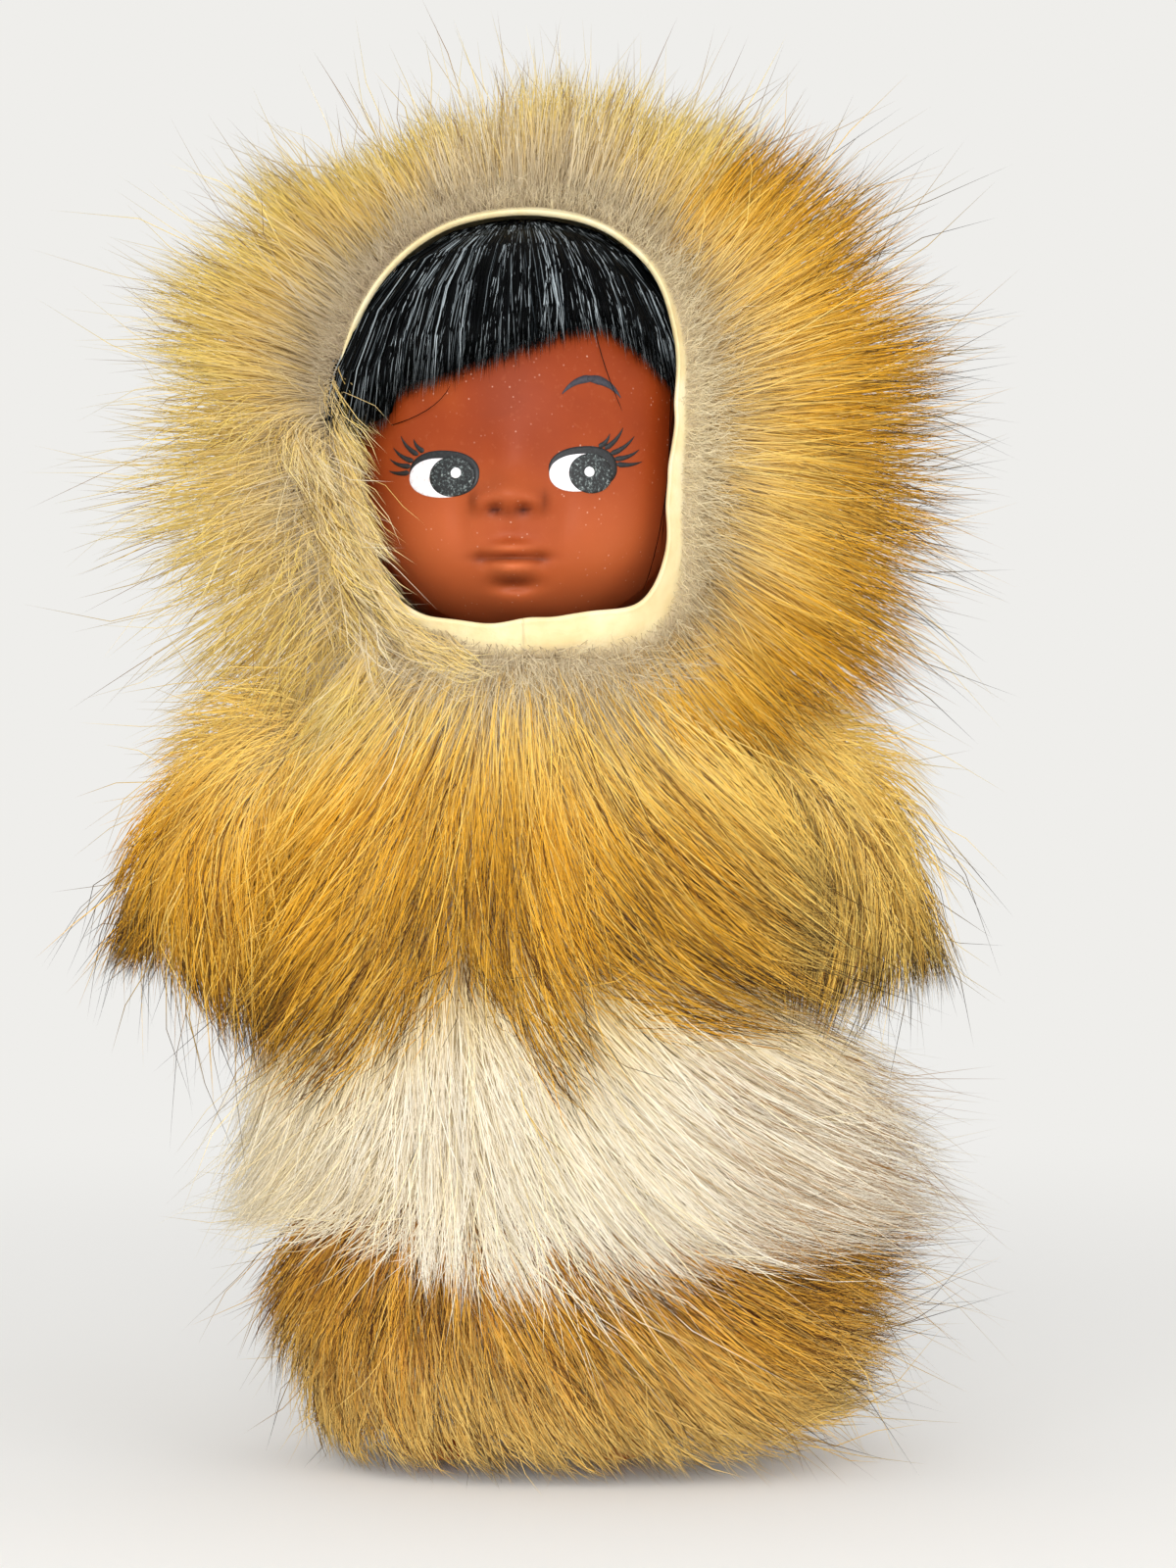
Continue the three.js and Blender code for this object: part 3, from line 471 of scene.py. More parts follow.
def makeEyes():
    # each coat lies on the one before
    coat = eyePaint["coat"]
    for side in ("left", "right"):
        x, up, wide, tall, tilt = eyePaint[side]["white"]
        white = ovalOutline(x, up - 0.2, wide - 0.2, tall - 0.35, tilt, 2.2)
        iris = ovalOutline(*eyePaint[side]["iris"])
        spotX, spotUp, spotSize = eyePaint[side]["spot"]
        spot = ovalOutline(spotX, spotUp, spotSize, spotSize)
        paintPatch(f"eye_rim_{side}", lidOutline(side), coat, blackPaint)
        paintPatch(f"eye_white_{side}", white, 2 * coat, whitePaint)
        paintPatch(f"iris_{side}", iris, 3 * coat, irisPaint)
        paintPatch(f"eye_light_{side}", spot, 4 * coat, lightPaint, 4, 28)
    lift = coat * 1.5
    for side in ("left", "right"):
        strokesPiece(f"lashes_{side}", [
            {"x0": a, "z0": b, "x1": c, "z1": d, "bend": bend, "halfWidth": 0.6, "lift": lift}
            for a, b, c, d, bend in eyePaint[side]["lashes"]], blackPaint)
    browPaint = paintMaterial("thin grey-black paint", [(0.35, "#26262E"), (0.7, "#3E3A44")], 1.9, 0.5)
    strokesPiece("eyebrow_left", [
        {"x0": a, "z0": b, "x1": c, "z1": d, "bend": bend, "halfWidth": half, "lift": lift, "peak": 0.3}
        for a, b, c, d, bend, half in eyePaint["brow"]], browPaint)


makeEyes()
print("face painted")


# Strands: closed three-sided tubes, tapering to their tips

def waved(path, wave, turns=1.3):
    # adds a side swing, wave s (sin(phase + turns s) - sin(phase)), growing from the root to the tip
    count, places, _ = path.shape
    s = np.linspace(0, 1, places)[None, :, None]
    side = unit(np.cross(path[:, -1] - path[:, 0], dice.normal(size=(count, 3))))[:, None, :]
    phase = dice.uniform(0, 2 * math.pi, (count, 1, 1))
    size = wave * dice.uniform(0.3, 1.0, (count, 1, 1))
    return path + side * size * s * (np.sin(phase + s * turns * 2 * math.pi) - np.sin(phase))


def strandsAlong(root, start, finish, length, steps, wave):
    # place(s) = root + length ((s - s^2 / 2) start direction + s^2 / 2 end direction)
    s = np.linspace(0, 1, steps + 1)[None, :, None]
    length = length[:, None, None]
    start, finish = unit(start)[:, None, :], unit(finish)[:, None, :]
    return waved(root[:, None, :] + length * ((s - s * s / 2) * start + s * s / 2 * finish), wave)


def strandsTo(root, lead, target, steps, wave):
    # place(s) = root + way s^2 + |way| lead (s - s^2), for way = target - root
    s = np.linspace(0, 1, steps + 1)[None, :, None]
    way = (target - root)[:, None, :]
    size = np.linalg.norm(way, axis=-1, keepdims=True)
    return waved(root[:, None, :] + way * s * s + size * unit(lead)[:, None, :] * (s - s * s), wave)


def strandMesh(path, rootRadius, tipRadius):
    # three corners round each place on the path, thinning with the cube of the distance to a point;
    # the first ring is capped. Normals lean from the hair's own towards the pelt's for a soft pile.
    count, places, _ = path.shape
    tangent = unit(np.gradient(path, axis=1))
    sideA = unit(np.cross(tangent, dice.normal(size=(count, 1, 3))))
    sideB = np.cross(tangent, sideA)
    s = np.linspace(0, 1, places)
    radius = (rootRadius[:, None] + (tipRadius - rootRadius)[:, None] * s[None, :] ** 3)[:, :-1, None]
    turns = [0, 2 * math.pi / 3, 4 * math.pi / 3]
    outward = np.stack([math.cos(t) * sideA + math.sin(t) * sideB for t in turns], axis=2)[:, :-1]
    ring = path[:, :-1, None, :] + radius[..., None] * outward
    points = np.concatenate([ring.reshape(count, -1, 3), path[:, -1:, :]], axis=1)
    normals = np.concatenate([outward.reshape(count, -1, 3), tangent[:, -1:, :]], axis=1)
    each = points.shape[1]
    pattern = []
    for place in range(places - 2):
        for corner in range(3):
            a, b = place * 3 + corner, place * 3 + (corner + 1) % 3
            pattern += [(a, b, b + 3), (a, b + 3, a + 3)]
    lastRing = (places - 2) * 3
    pattern += [(lastRing + c, lastRing + (c + 1) % 3, each - 1) for c in range(3)]
    pattern.append((0, 2, 1))
    faces = (np.arange(count)[:, None, None] * each + np.array(pattern)[None]).reshape(-1, 3)
    alongAt = np.append(np.repeat(s[:-1], 3), 1.0)
    return points.reshape(-1, 3), faces, np.tile(alongAt, count), each, normals


def bakeCells(count, each, along, columns):
    # a cell of the bake map for each strand: across it the tube's corners, up it the strand's length
    rows = math.ceil(count / columns)
    cell = np.repeat(np.arange(count), each)
    corner = np.tile(np.append(np.tile([0.2, 0.5, 0.8], (each - 1) // 3), 0.5), count)
    u = (cell % columns + corner) / columns
    v = (cell // columns + 0.06 + 0.88 * along) / rows
    return np.stack([u, v], axis=-1)


def furPiece(name, path, rootRadius, tipRadius, body, material, shades, node=(), lie=None):
    # shades are values per strand, or per place on it, such as tone; lie is the pelt's normal
    count = len(path)
    points, faces, along, each, normals = strandMesh(path, rootRadius, tipRadius)
    points[:, 2] = np.maximum(points[:, 2], 0.3)
    attributes = {"along": along}
    for key, values in shades.items():
        if values.ndim == 2:   # one value for each place along the strand
            rings = np.repeat(values[:, :-1], 3, axis=1)
            attributes[key] = np.concatenate([rings, values[:, -1:]], axis=1)
        else:
            attributes[key] = np.repeat(values, each)
    uv = bakeCells(count, each, along, 128 if count < 6000 else 256)
    piece = meshPiece(name, points, faces, body, material, node, uv, attributes)
    if lie is not None:
        leaning = unit(normals + 0.45 * lie[:, None, :]).reshape(-1, 3)
        piece.data.normals_split_custom_set_from_vertices(leaning)
    return piece


def hairMaterial():
    # nylon doll hair: black, with a long grey sheen where a strand catches the light
    material, tree, shader = newMaterial("black nylon hair", {"Roughness": 0.36, "Specular IOR Level": 0.05})
    tone = addNode(tree, "ShaderNodeAttribute", {"attribute_name": "tone"}).outputs["Fac"]
    color = addNode(tree, "ShaderNodeValToRGB", inputs={"Fac": tone}, stops=[
        (0.0, "#020303"), (0.5, "#070809"), (0.75, "#30373B"), (1.0, "#B4BEC2")]).outputs["Color"]
    tree.links.new(color, shader.inputs["Base Color"])
    return material


nylon = hairMaterial()


# Rooted hair: thick nylon strands from the crown down the scalp to a slanted blunt fringe
hair = {
    "thickness": 2.8, "strands": 5200, "steps": 5, "radius": 0.15,
    "shining": 0.19,   # share of the strands that catch the light
    # the fringe's lower edge: place across the face, and height above the middle of the head
    "fringe": [(-44, -1.0), (-30, 0.0), (-26.5, 1.0), (-25.5, 6.0), (-16, 8.5), (-7, 11.5), (1, 14.5),
               (8, 17.2), (13, 18.4), (17, 19.0), (20, 16.8), (25, 12.8), (29, 8.0), (33, 3.0), (36, 0.5),
               (44, -2.0)],
    "nape": -26.0, "flare": 6.5,
    # loose hairs over the right-hand lock, down the cheek and across the crown, as curves of four points
    "loose": [
        [(14.5, 19.5), (16.0, 12.0), (18.5, 6.5), (20.0, 3.0)],
        [(30.5, 14.0), (29.6, 4.0), (29.6, -8.0), (29.0, -20.0)],
        [(31.0, 10.0), (30.0, 0.0), (28.8, -14.0), (28.0, -24.0)],
        [(30.8, 4.0), (29.4, -10.0), (28.0, -24.0), (24.0, -33.0)],
        [(-27.0, 1.0), (-22.0, 1.8), (-16.5, 4.0), (-14.5, 8.5)],
    ],
}
hairCrown = headZ + head["crown"]


def fringeHeight(x):
    # height of the fringe's lower edge above the head's middle, by place across the face
    places, heights = zip(*hair["fringe"])
    return headZ + np.interp(x, places, heights)


def makeHairCap():
    # two layers over the egg from the fringe up, one just off the scalp and one under the strands
    columns, rows = 160, 32
    angle = np.linspace(0, 2 * math.pi, columns, endpoint=False)[None, :]
    turn = np.where(angle > math.pi, angle - 2 * math.pi, angle)
    frontEdge = fringeHeight(head["radius"] * np.sin(angle)) + 2.2
    edge = mixed(frontEdge, headZ + hair["nape"], smooth(1.35, 1.9, np.abs(turn)))
    s = np.linspace(0, 1, rows)[:, None]
    layers = []
    for grow in (0.45, hair["thickness"] - 1.4):
        z = edge + (hairCrown + grow - 0.02 - edge) * np.sin(s * math.pi / 2)
        swell = 0.5 + (grow - 0.5) * smooth(0, 0.06, s)
        radius = np.maximum(eggRadius(z, swell) + np.maximum(faceRise(angle, z), 0), 0.05)
        layers.append(np.stack([radius * np.sin(angle), axisY - radius * np.cos(angle), z], axis=-1))
    inner, outer = layers
    count = 2 * rows * columns
    meshPiece("hair_cap", np.concatenate([inner[::-1], outer]), ringFaces(2 * rows, columns), "head", nylon,
              ["rooted_hair"],
              attributes={"tone": np.full(count, 0.05), "along": np.full(count, 0.5)})


def growHair():
    # strands fan from the crown down meridians, in layers; each ends near the fringe's edge
    count = hair["strands"] // thin
    turn = dice.uniform(-1.62, 1.62, count)
    spread = np.abs(dice.normal(0, 0.9, count)) * np.sign(dice.uniform(-1, 0.4, count)) + 0.4
    flare = hair["flare"] * smooth(0.75, 1.1, -turn) + 2.0 * smooth(0.8, 1.2, turn)
    endX = (head["radius"] + flare) * np.sin(turn)
    end = fringeHeight(endX) - spread
    depth = dice.uniform(0, 1, count) ** 0.7
    start = hairCrown + hair["thickness"] - 0.2 - (1 - depth) * 10
    s = np.linspace(0, 1, hair["steps"] + 1)[None, :]
    z = start[:, None] + (end - start)[:, None] * (1 - np.cos(s * math.pi / 2)) ** 0.95
    layer = mixed(1.3, hair["thickness"], depth)[:, None]
    lifted = layer + flare[:, None] * s ** 2.5 * dice.uniform(0.1, 1, (count, 1)) ** 0.7
    drift = dice.normal(0, 0.09, (count, 1)) * (1 - s) + dice.normal(0, 0.03, (count, 1)) * s
    angle = turn[:, None] + drift
    radius = eggRadius(z, lifted) + np.maximum(faceRise(angle, z), 0) * 0.8
    path = np.stack([radius * np.sin(angle), axisY - radius * np.cos(angle), z], axis=-1)
    shining = dice.uniform(size=count) < hair["shining"]
    light, dark = dice.uniform(0.72, 1.0, count), dice.uniform(0, 0.55, count)
    size = hair["radius"] * dice.uniform(0.75, 1.15, count)
    furPiece("rooted_strands", path, size, size * 0.9, "head", nylon,
             {"tone": np.where(shining, light, dark)})


def growLooseHairs():
    # cubic Beziers seen from in front, laid on the face and rising from it by half a millimetre
    s = np.linspace(0, 1, 9)[None, :, None]
    a, b, c, d = (np.array(hair["loose"])[:, i:i + 1] for i in range(4))
    flat = (1 - s) ** 3 * a + 3 * (1 - s) ** 2 * s * b + 3 * (1 - s) * s * s * c + s ** 3 * d
    x, z = flat[..., 0], headZ + flat[..., 1]
    path = np.stack([x, faceDepth(x, z, 0.35 + 0.5 * s[..., 0]), z], axis=-1)
    size = np.full(len(path), 0.1)
    furPiece("loose_hairs", path, size, size * 0.6, "head", nylon, {"tone": np.full(len(path), 0.3)})


makeHairCap()
growHair()
growLooseHairs()
print("hair rooted")


def hideMaterial():
    # alum-tanned hide: cream, matt, faintly clouded, with a grain of 0.6 mm, greyer where hair grows
    material, tree, shader = newMaterial("alum-tanned fox hide", {
        "Roughness": 0.72, "Subsurface Weight": 0.1, "Subsurface Radius": (0.003, 0.002, 0.001)})
    place = addNode(tree, "ShaderNodeTexCoord").outputs["Object"]
    grain = addNode(tree, "ShaderNodeTexNoise", inputs={
        "Vector": place, "Scale": 1.8 * cellsPerMm, "Detail": 5.0}).outputs["Fac"]
    cloud = addNode(tree, "ShaderNodeTexNoise", inputs={
        "Vector": place, "Scale": 0.11 * cellsPerMm, "Detail": 3.0}).outputs["Fac"]
    skin = addNode(tree, "ShaderNodeValToRGB", inputs={"Fac": cloud}, stops=[
        (0.3, "#DDC690"), (0.5, "#E8D6A4"), (0.7, "#EFE2BA")]).outputs["Color"]
    under = addNode(tree, "ShaderNodeValToRGB", inputs={"Fac": grain}, stops=[
        (0.35, "#B5A282"), (0.65, "#D3C29E")]).outputs["Color"]
    furry = addNode(tree, "ShaderNodeAttribute", {"attribute_name": "furry"}).outputs["Fac"]
    colored = addNode(tree, "ShaderNodeMix", colorMix, {
        mixFactor: furry, mixFirst: skin, mixSecond: under}).outputs[mixResult]
    tree.links.new(colored, shader.inputs["Base Color"])
    bump = addNode(tree, "ShaderNodeBump", inputs={"Height": grain, "Strength": 0.25, "Distance": 0.0004})
    tree.links.new(bump.outputs["Normal"], shader.inputs["Normal"])
    return material


hide = hideMaterial()

# Hood: an egg round the head, open in front
hood = {
    "inside": 4.3, "outside": 5.5, "jaw": 62.0, "bottom": shoulderZ + 20.3,
    "rimRadius": 42.0,   # from the middle of the head to the rim, which turns millimetres there to an angle
    # the opening's edge seen from in front, across and above the middle of the head
    "mouth": [(31.0, 5), (29.9, -8), (29.6, -17), (29.2, -26), (27.4, -32), (24.0, -36.2), (18.4, -38.0),
              (9, -39.2), (1.2, -39.8), (-10, -40.2), (-20, -39.4), (-27, -35), (-32, -25), (-34.6, -12),
              (-37.2, 0), (-38.4, 12), (-36, 22), (-30.5, 32), (-24, 39), (-15, 44), (-5, 46), (4, 46.2),
              (12, 45), (19, 41.5), (25.5, 35.5), (30, 26), (31.8, 15)],
    # millimetres of bare hide before the fur begins, by direction in degrees from +X towards +Z
    "bare": [(0, 2.2), (30, 1.2), (60, 0.6), (85, 2.4), (105, 1.4), (125, 0.2), (180, 0.0), (235, 0.2),
             (250, 1.4), (270, 3.0), (290, 4.2), (310, 4.4), (335, 3.0), (360, 2.2)],
    "seamTilt": 36.0,
    # where the fur's dense outline lies, from the middle of the head
    "reach": [(-34, 92), (-28, 89.5), (-21, 88), (-13, 86.3), (-4, 86), (5, 87.4), (13, 87.3), (21, 85.4),
              (30, 85), (39, 83.9), (48, 80), (61, 77.4), (74, 76.5), (89, 73), (104, 72), (115, 72),
              (129, 74.7), (142, 77), (155, 80.5), (166, 83.4), (179, 84.6), (191, 86.9), (201, 88),
              (210, 88.7), (217, 87.2), (235, 80), (270, 70), (305, 80)],
    # share of that reach by the way back from the doll's axis, and the funnel round the opening
    "profile": [(-37, 0.80), (-32, 0.92), (-24, 0.99), (-12, 1.0), (4, 0.98), (18, 0.91), (32, 0.78),
                (44, 0.60), (53, 0.38), (58, 0.05)],
    "funnel": [(33, -27.5), (42, -31.0), (66, -37)],
    "paleTo": {"left": (0.57, 0.84), "right": (0.5, 0.8)},   # share of the reach over which the colour turns
    "slot": {"left": "gold_fur", "right": "straw_fur"},
    # share of cream in the short wool, by direction
    "creamWool": [(0, 0.85), (60, 0.5), (95, 0.35), (120, 0), (200, 0.2), (235, 0.3), (270, 0.1),
                  (300, 0.5), (360, 0.85)],
    "hairs": 25000, "wool": 12500, "edgeHairs": 1800,
    "steps": 4, "wave": 2.6, "longest": 64.0,
    "frontShare": 0.66, "frontTo": 1.7,   # this share of the hairs grows in front, as far back as this angle
    "sweptLength": (20, 38), "edgeLength": (12, 34),
}


def around(table, t):
    # reads a table of (degrees, value) at the angles t, running round past 360 degrees
    degrees, values = np.array(table, dtype=float).T
    return np.interp(np.degrees(t), degrees, values, period=360)


def eggAlong(direction, grow, jaw):
    # distance from the head's middle to the egg's surface along a direction, by halving the interval
    near, far = np.zeros(direction.shape[:-1]), np.full(direction.shape[:-1], 90.0)
    flat = np.hypot(direction[..., 0], direction[..., 1])
    for _ in range(30):
        middle = (near + far) / 2
        within = middle * flat < eggRadius(headZ + middle * direction[..., 2], grow, jaw)
        near, far = np.where(within, middle, near), np.where(within, far, middle)
    return near


def lookAt(t, polar):
    # polar is measured from straight ahead (-Y), t turns from +X towards +Z
    return np.stack([np.sin(polar) * np.cos(t), -np.cos(polar) + 0 * t, np.sin(polar) * np.sin(t)], axis=-1)


def hoodPoint(t, polar, grow):
    # the egg's surface along a direction, no lower than the hood's seam with the coat
    direction = lookAt(t, polar)
    place = direction * eggAlong(direction, grow, hood["jaw"])[..., None] + np.array([0, axisY, headZ])
    place[..., 2] = np.maximum(place[..., 2], hood["bottom"])
    return place


def mouthPolars():
    # for each direction t, the polar angle at which the hood's surface shows the opening's outline
    outline = np.array(hood["mouth"])
    degrees = np.degrees(np.arctan2(outline[:, 1], outline[:, 0]))
    wanted = np.hypot(outline[:, 0], outline[:, 1])
    t = np.radians(np.arange(360.0))
    size = around(list(zip(degrees, wanted)), t)
    softened = np.convolve(np.tile(size, 3), np.hanning(13) / np.hanning(13).sum(), "same")[360:720]
    low, high = np.full(360, 0.3), np.full(360, 1.45)
    for _ in range(24):
        middle = (low + high) / 2
        direction = lookAt(t, middle)
        short = eggAlong(direction, hood["outside"], hood["jaw"]) * np.sin(middle) < softened
        low, high = np.where(short, middle, low), np.where(short, high, middle)
    return low


mouthEdge = mouthPolars()


def mouthPolar(t):
    return np.interp(np.degrees(t), np.arange(360.0), mouthEdge, period=360)


def furEdge(t):
    # the polar angle at which the fur begins: the opening's edge and its margin of bare hide
    return mouthPolar(t) + around(hood["bare"], t) / hood["rimRadius"]


def pelts():
    # the two pelts' ranges of t: the slanted seam over the crown, and the middle of the nape and throat
    tilt = math.radians(90 - hood["seamTilt"])
    return {"left": (-math.pi / 2, tilt), "right": (tilt, 1.5 * math.pi)}


def makeHoodHide():
    # rows run inside from the nape to the opening, over its rolled edge and back outside to the nape
    middle = (hood["inside"] + hood["outside"]) / 2
    half = (hood["outside"] - hood["inside"]) / 2
    bend = np.linspace(math.pi, 0, 8)[:, None]
    roll = 0.35 * np.sin(bend)
    share = np.linspace(0, 1, 27)[1:, None] ** 1.6
    for name, (fromT, toT) in pelts().items():
        columns = int((toT - fromT) * 60)
        t = np.linspace(fromT, toT, columns)[None, :]
        edge = mouthPolar(t) + np.radians(0.35 * np.sin(7 * t + 1) + 0.25 * np.sin(17 * t))
        rimPolar = edge - np.sin(bend) * half / hood["rimRadius"]
        rimGrow = middle + half * np.cos(bend) + roll
        outPolar = edge + (math.pi - 0.02 - edge) * share
        polar = np.concatenate([outPolar[::-1], rimPolar, outPolar])
        grow = np.concatenate([
            hood["inside"] + 0 * outPolar, rimGrow + 0 * t, hood["outside"] + 0 * outPolar])
        points = hoodPoint(t + 0 * polar, polar, grow)
        bare = around(hood["bare"], t) / hood["rimRadius"]
        outFurry = smooth(-0.01, 0.04, outPolar - edge - bare)
        meshPiece(f"hood_skin_{name}", points, foldedFaces(len(polar), columns)[:, ::-1], "coat_and_torso",
                  hide, [f"hood_hide_{name}"],
                  attributes={"furry": np.concatenate([0 * outPolar, 0 * rimPolar, outFurry])})


makeHoodHide()
print("hood cut and seamed")


def furMaterial(name, stops, paleStops, darkTip):
    # fox fur: matt with a faint gloss. Its colour runs from the root to the tip of each hair, with a
    # paler pelt blended in, dark tips laid over it and a shade for the hair's tone
    material, tree, shader = newMaterial(name, {"Roughness": 0.62, "Specular IOR Level": 0.22})
    along, pale, tipped, tone = [
        addNode(tree, "ShaderNodeAttribute", {"attribute_name": key}).outputs["Fac"]
        for key in ("along", "pale", "tipped", "tone")]
    own = addNode(tree, "ShaderNodeValToRGB", inputs={"Fac": along}, stops=stops).outputs["Color"]
    paler = addNode(tree, "ShaderNodeValToRGB", inputs={"Fac": along}, stops=paleStops).outputs["Color"]
    base = addNode(tree, "ShaderNodeMix", colorMix, {
        mixFactor: pale, mixFirst: own, mixSecond: paler}).outputs[mixResult]
    outerHalf = addNode(tree, "ShaderNodeValToRGB", inputs={"Fac": along}, stops=[
        (0.42, "#000000"), (0.8, "#FFFFFF")]).outputs["Color"]
    dark = addNode(tree, "ShaderNodeMath", {"operation": "MULTIPLY", "use_clamp": True}, {
        0: outerHalf, 1: tipped}).outputs["Value"]
    darkened = addNode(tree, "ShaderNodeMix", colorMix, {
        mixFactor: dark, mixFirst: base, mixSecond: linearColor(darkTip)}).outputs[mixResult]
    shade = addNode(tree, "ShaderNodeValToRGB", inputs={"Fac": tone}, stops=[
        (0.0, "#5E4A36"), (0.28, "#B5A58E"), (0.6, "#F2ECE2"), (1.0, "#FFFFFF")]).outputs["Color"]
    shaded = addNode(tree, "ShaderNodeMix", colorMultiply, {
        mixFactor: 1.0, mixFirst: darkened, mixSecond: shade}).outputs[mixResult]
    tree.links.new(shaded, shader.inputs["Base Color"])
    return material


strawFur = furMaterial(
    "pale straw fox fur",
    [(0.0, "#B5A080"), (0.25, "#D6BA78"), (0.45, "#EDCA74"), (0.7, "#F5D670"), (1.0, "#F8E292")],
    [(0.0, "#BCAA8C"), (0.4, "#D8C6A2"), (0.75, "#F0E2C2"), (1.0, "#F8F0DA")], "#8A6330")
goldFur = furMaterial(
    "golden fox fur",
    [(0.0, "#B48E58"), (0.22, "#E2B45C"), (0.42, "#F0BC44"), (0.66, "#EEAE26"), (1.0, "#E4A220")],
    [(0.0, "#BEA67C"), (0.3, "#E8C87C"), (0.6, "#F7D06A"), (1.0, "#FADC80")], "#2E1D10")
whiteFur = furMaterial(
    "cream white fox fur",
    [(0.0, "#E4D6B8"), (0.25, "#F2E8D0"), (0.6, "#F8F1DE"), (1.0, "#FEFAEE")],
    [(0.0, "#D8C28E"), (0.4, "#F0DCA8"), (1.0, "#F8E8BC")], "#A0743C")
brownFur = furMaterial(
    "brown fox fur",
    [(0.0, "#6E4A2A"), (0.22, "#9C6A34"), (0.45, "#D09036"), (0.7, "#F0B23A"), (1.0, "#E6A62E")],
    [(0.0, "#9A7442"), (0.4, "#D6AC58"), (1.0, "#F0CE7C")], "#33200F")
woolFur = furMaterial(
    "grey woolly underfur",
    [(0.0, "#9C8C76"), (0.5, "#B8A68A"), (1.0, "#D4C4A4")],
    [(0.0, "#D2C19A"), (0.5, "#EADAB0"), (1.0, "#F7EBC8")], "#8A7A68")


def evenPairs(count, first=0):
    # steps of 0.7549 and 0.5698 round the unit square, which cover it evenly without a grid
    index = np.arange(count) + first
    return np.mod(index * 0.7548776662, 1), np.mod(index * 0.5698402910, 1)


def tufted(path, size, pull, ragged):
    # hairs rooted in one warped cell of about size mm gather at their tips towards the cell's mean hair,
    # and share a length: 1 - ragged to 1 + ragged / 2 of their own
    root = path[:, 0] / size
    warped = root + 0.4 * np.sin(1.9 * root[:, [1, 2, 0]] + 1.3)
    cells = np.floor(warped).astype(int)
    _, group, members = np.unique(cells, axis=0, return_inverse=True, return_counts=True)
    group = group.ravel()
    mean = np.zeros((len(members),) + path.shape[1:])
    np.add.at(mean, group, path)
    mean /= members[:, None, None]
    s = np.linspace(0, 1, path.shape[1])[None, :, None]
    amount = pull * dice.uniform(0.2, 1, (len(path), 1, 1)) * s ** 1.5
    path = path + (mean[group] - path) * amount
    own = dice.uniform(0, 1, len(members))
    stretch = (1 - ragged + 1.5 * ragged * own)[group][:, None, None]
    return path[:, :1] + (path - path[:, :1]) * stretch, dice.uniform(0, 1, len(members))[group]


# How the hairs of every pelt grow
growth = {
    "longer": 1.22, "astray": 5.0,   # guard hairs are up to so much longer, and end millimetres astray
    "darkShare": 0.45, "dark": 1.7, "light": 0.3,   # share of hairs with dark tips, how dark, and the others
    "tipSize": 0.35,   # a tip's radius by the root's
    "casting": 0.25,   # share of a pelt's pieces that cast its shadow
    "mostTriangles": 195000,   # in one piece
    # the fur ends in this box: 13 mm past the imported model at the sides, 10 in front and behind, 17 above
    "box": np.array([[-102.0, -60.0, -1.0], [101.0, 60.5, 303.0]]),
}


def growFur(name, body, node, material, path, normal, tipped, pale, tone=0.6, contrast=1.0,
            radius=0.12, coarse=(10.0, 0.55, 0.16), fine=(3.4, 0.5, 0.12), guard=0.07):
    # tufts the hairs in coarse and fine locks, shades them and makes the pieces. pale gives the share of
    # the paler pelt from places on the hairs, and guard the share of hairs that stand alone: they are
    # longer, astray and mostly pale
    count = len(path)
    straight = path
    path, coarseTone = tufted(path, *coarse)
    path, fineTone = tufted(path, *fine)
    alone = dice.uniform(size=count) < guard
    longer = dice.uniform(1.0, growth["longer"], (count, 1, 1))
    s = np.linspace(0, 1, path.shape[1])[None, :, None]
    stray = dice.normal(0, growth["astray"], (count, 1, 3)) * s * s
    astray = straight[:, :1] + (straight - straight[:, :1]) * longer + stray
    path = np.where(alone[:, None, None], astray, path)

    # a hair that would leave the box is shortened until its tip is inside
    least, most = growth["box"]
    way = path[:, -1] - path[:, 0]
    room = np.where(way > 0, most - path[:, 0], path[:, 0] - least) / np.maximum(np.abs(way), 0.01)
    path = path[:, :1] + (path - path[:, :1]) * np.minimum(room.min(axis=1), 1)[:, None, None]
    path[..., 2] = np.maximum(path[..., 2], 0.4)

    # the hairs differ little in tone at their roots and fully at their tips, and whole locks have darker tips
    varied = 0.3 * (coarseTone - 0.5) + 0.5 * (fineTone - 0.5) + dice.normal(0, 0.27, count)
    darker = np.where(dice.uniform(size=count) < growth["darkShare"], growth["dark"], growth["light"])
    toneAt = (tone + 0.35 * alone)[:, None] + (contrast * varied)[:, None] * (0.35 + 0.85 * s[..., 0])
    lockTips = tipped * darker * (0.5 + 1.1 * coarseTone) + 0.35 * alone * (tipped > 0.15)
    paleAt = pale(path) + dice.normal(0, 0.22, (count, 1)) + 0.5 * alone[:, None]
    shades = {"tone": np.clip(toneAt, 0, 1), "tipped": np.clip(lockTips, 0, 1), "pale": np.clip(paleAt, 0, 1)}
    size = radius * dice.uniform(0.75, 1.2, count) * 1

    # every piece holds every so-manieth hair of the whole pelt; the first ones cast the pile's shadow
    each = (path.shape[1] - 2) * 6 + 4
    pieces = max(2, math.ceil(count * each / growth["mostTriangles"]))
    for index in range(pieces):
        chosen = slice(index, count, pieces)
        piece = furPiece(f"{name}_{index + 1}", path[chosen], size[chosen], size[chosen] * growth["tipSize"],
                         body, material, {key: values[chosen] for key, values in shades.items()},
                         node, normal[chosen])
        piece.visible_shadow = piece.visible_diffuse = index < max(1, round(pieces * growth["casting"]))


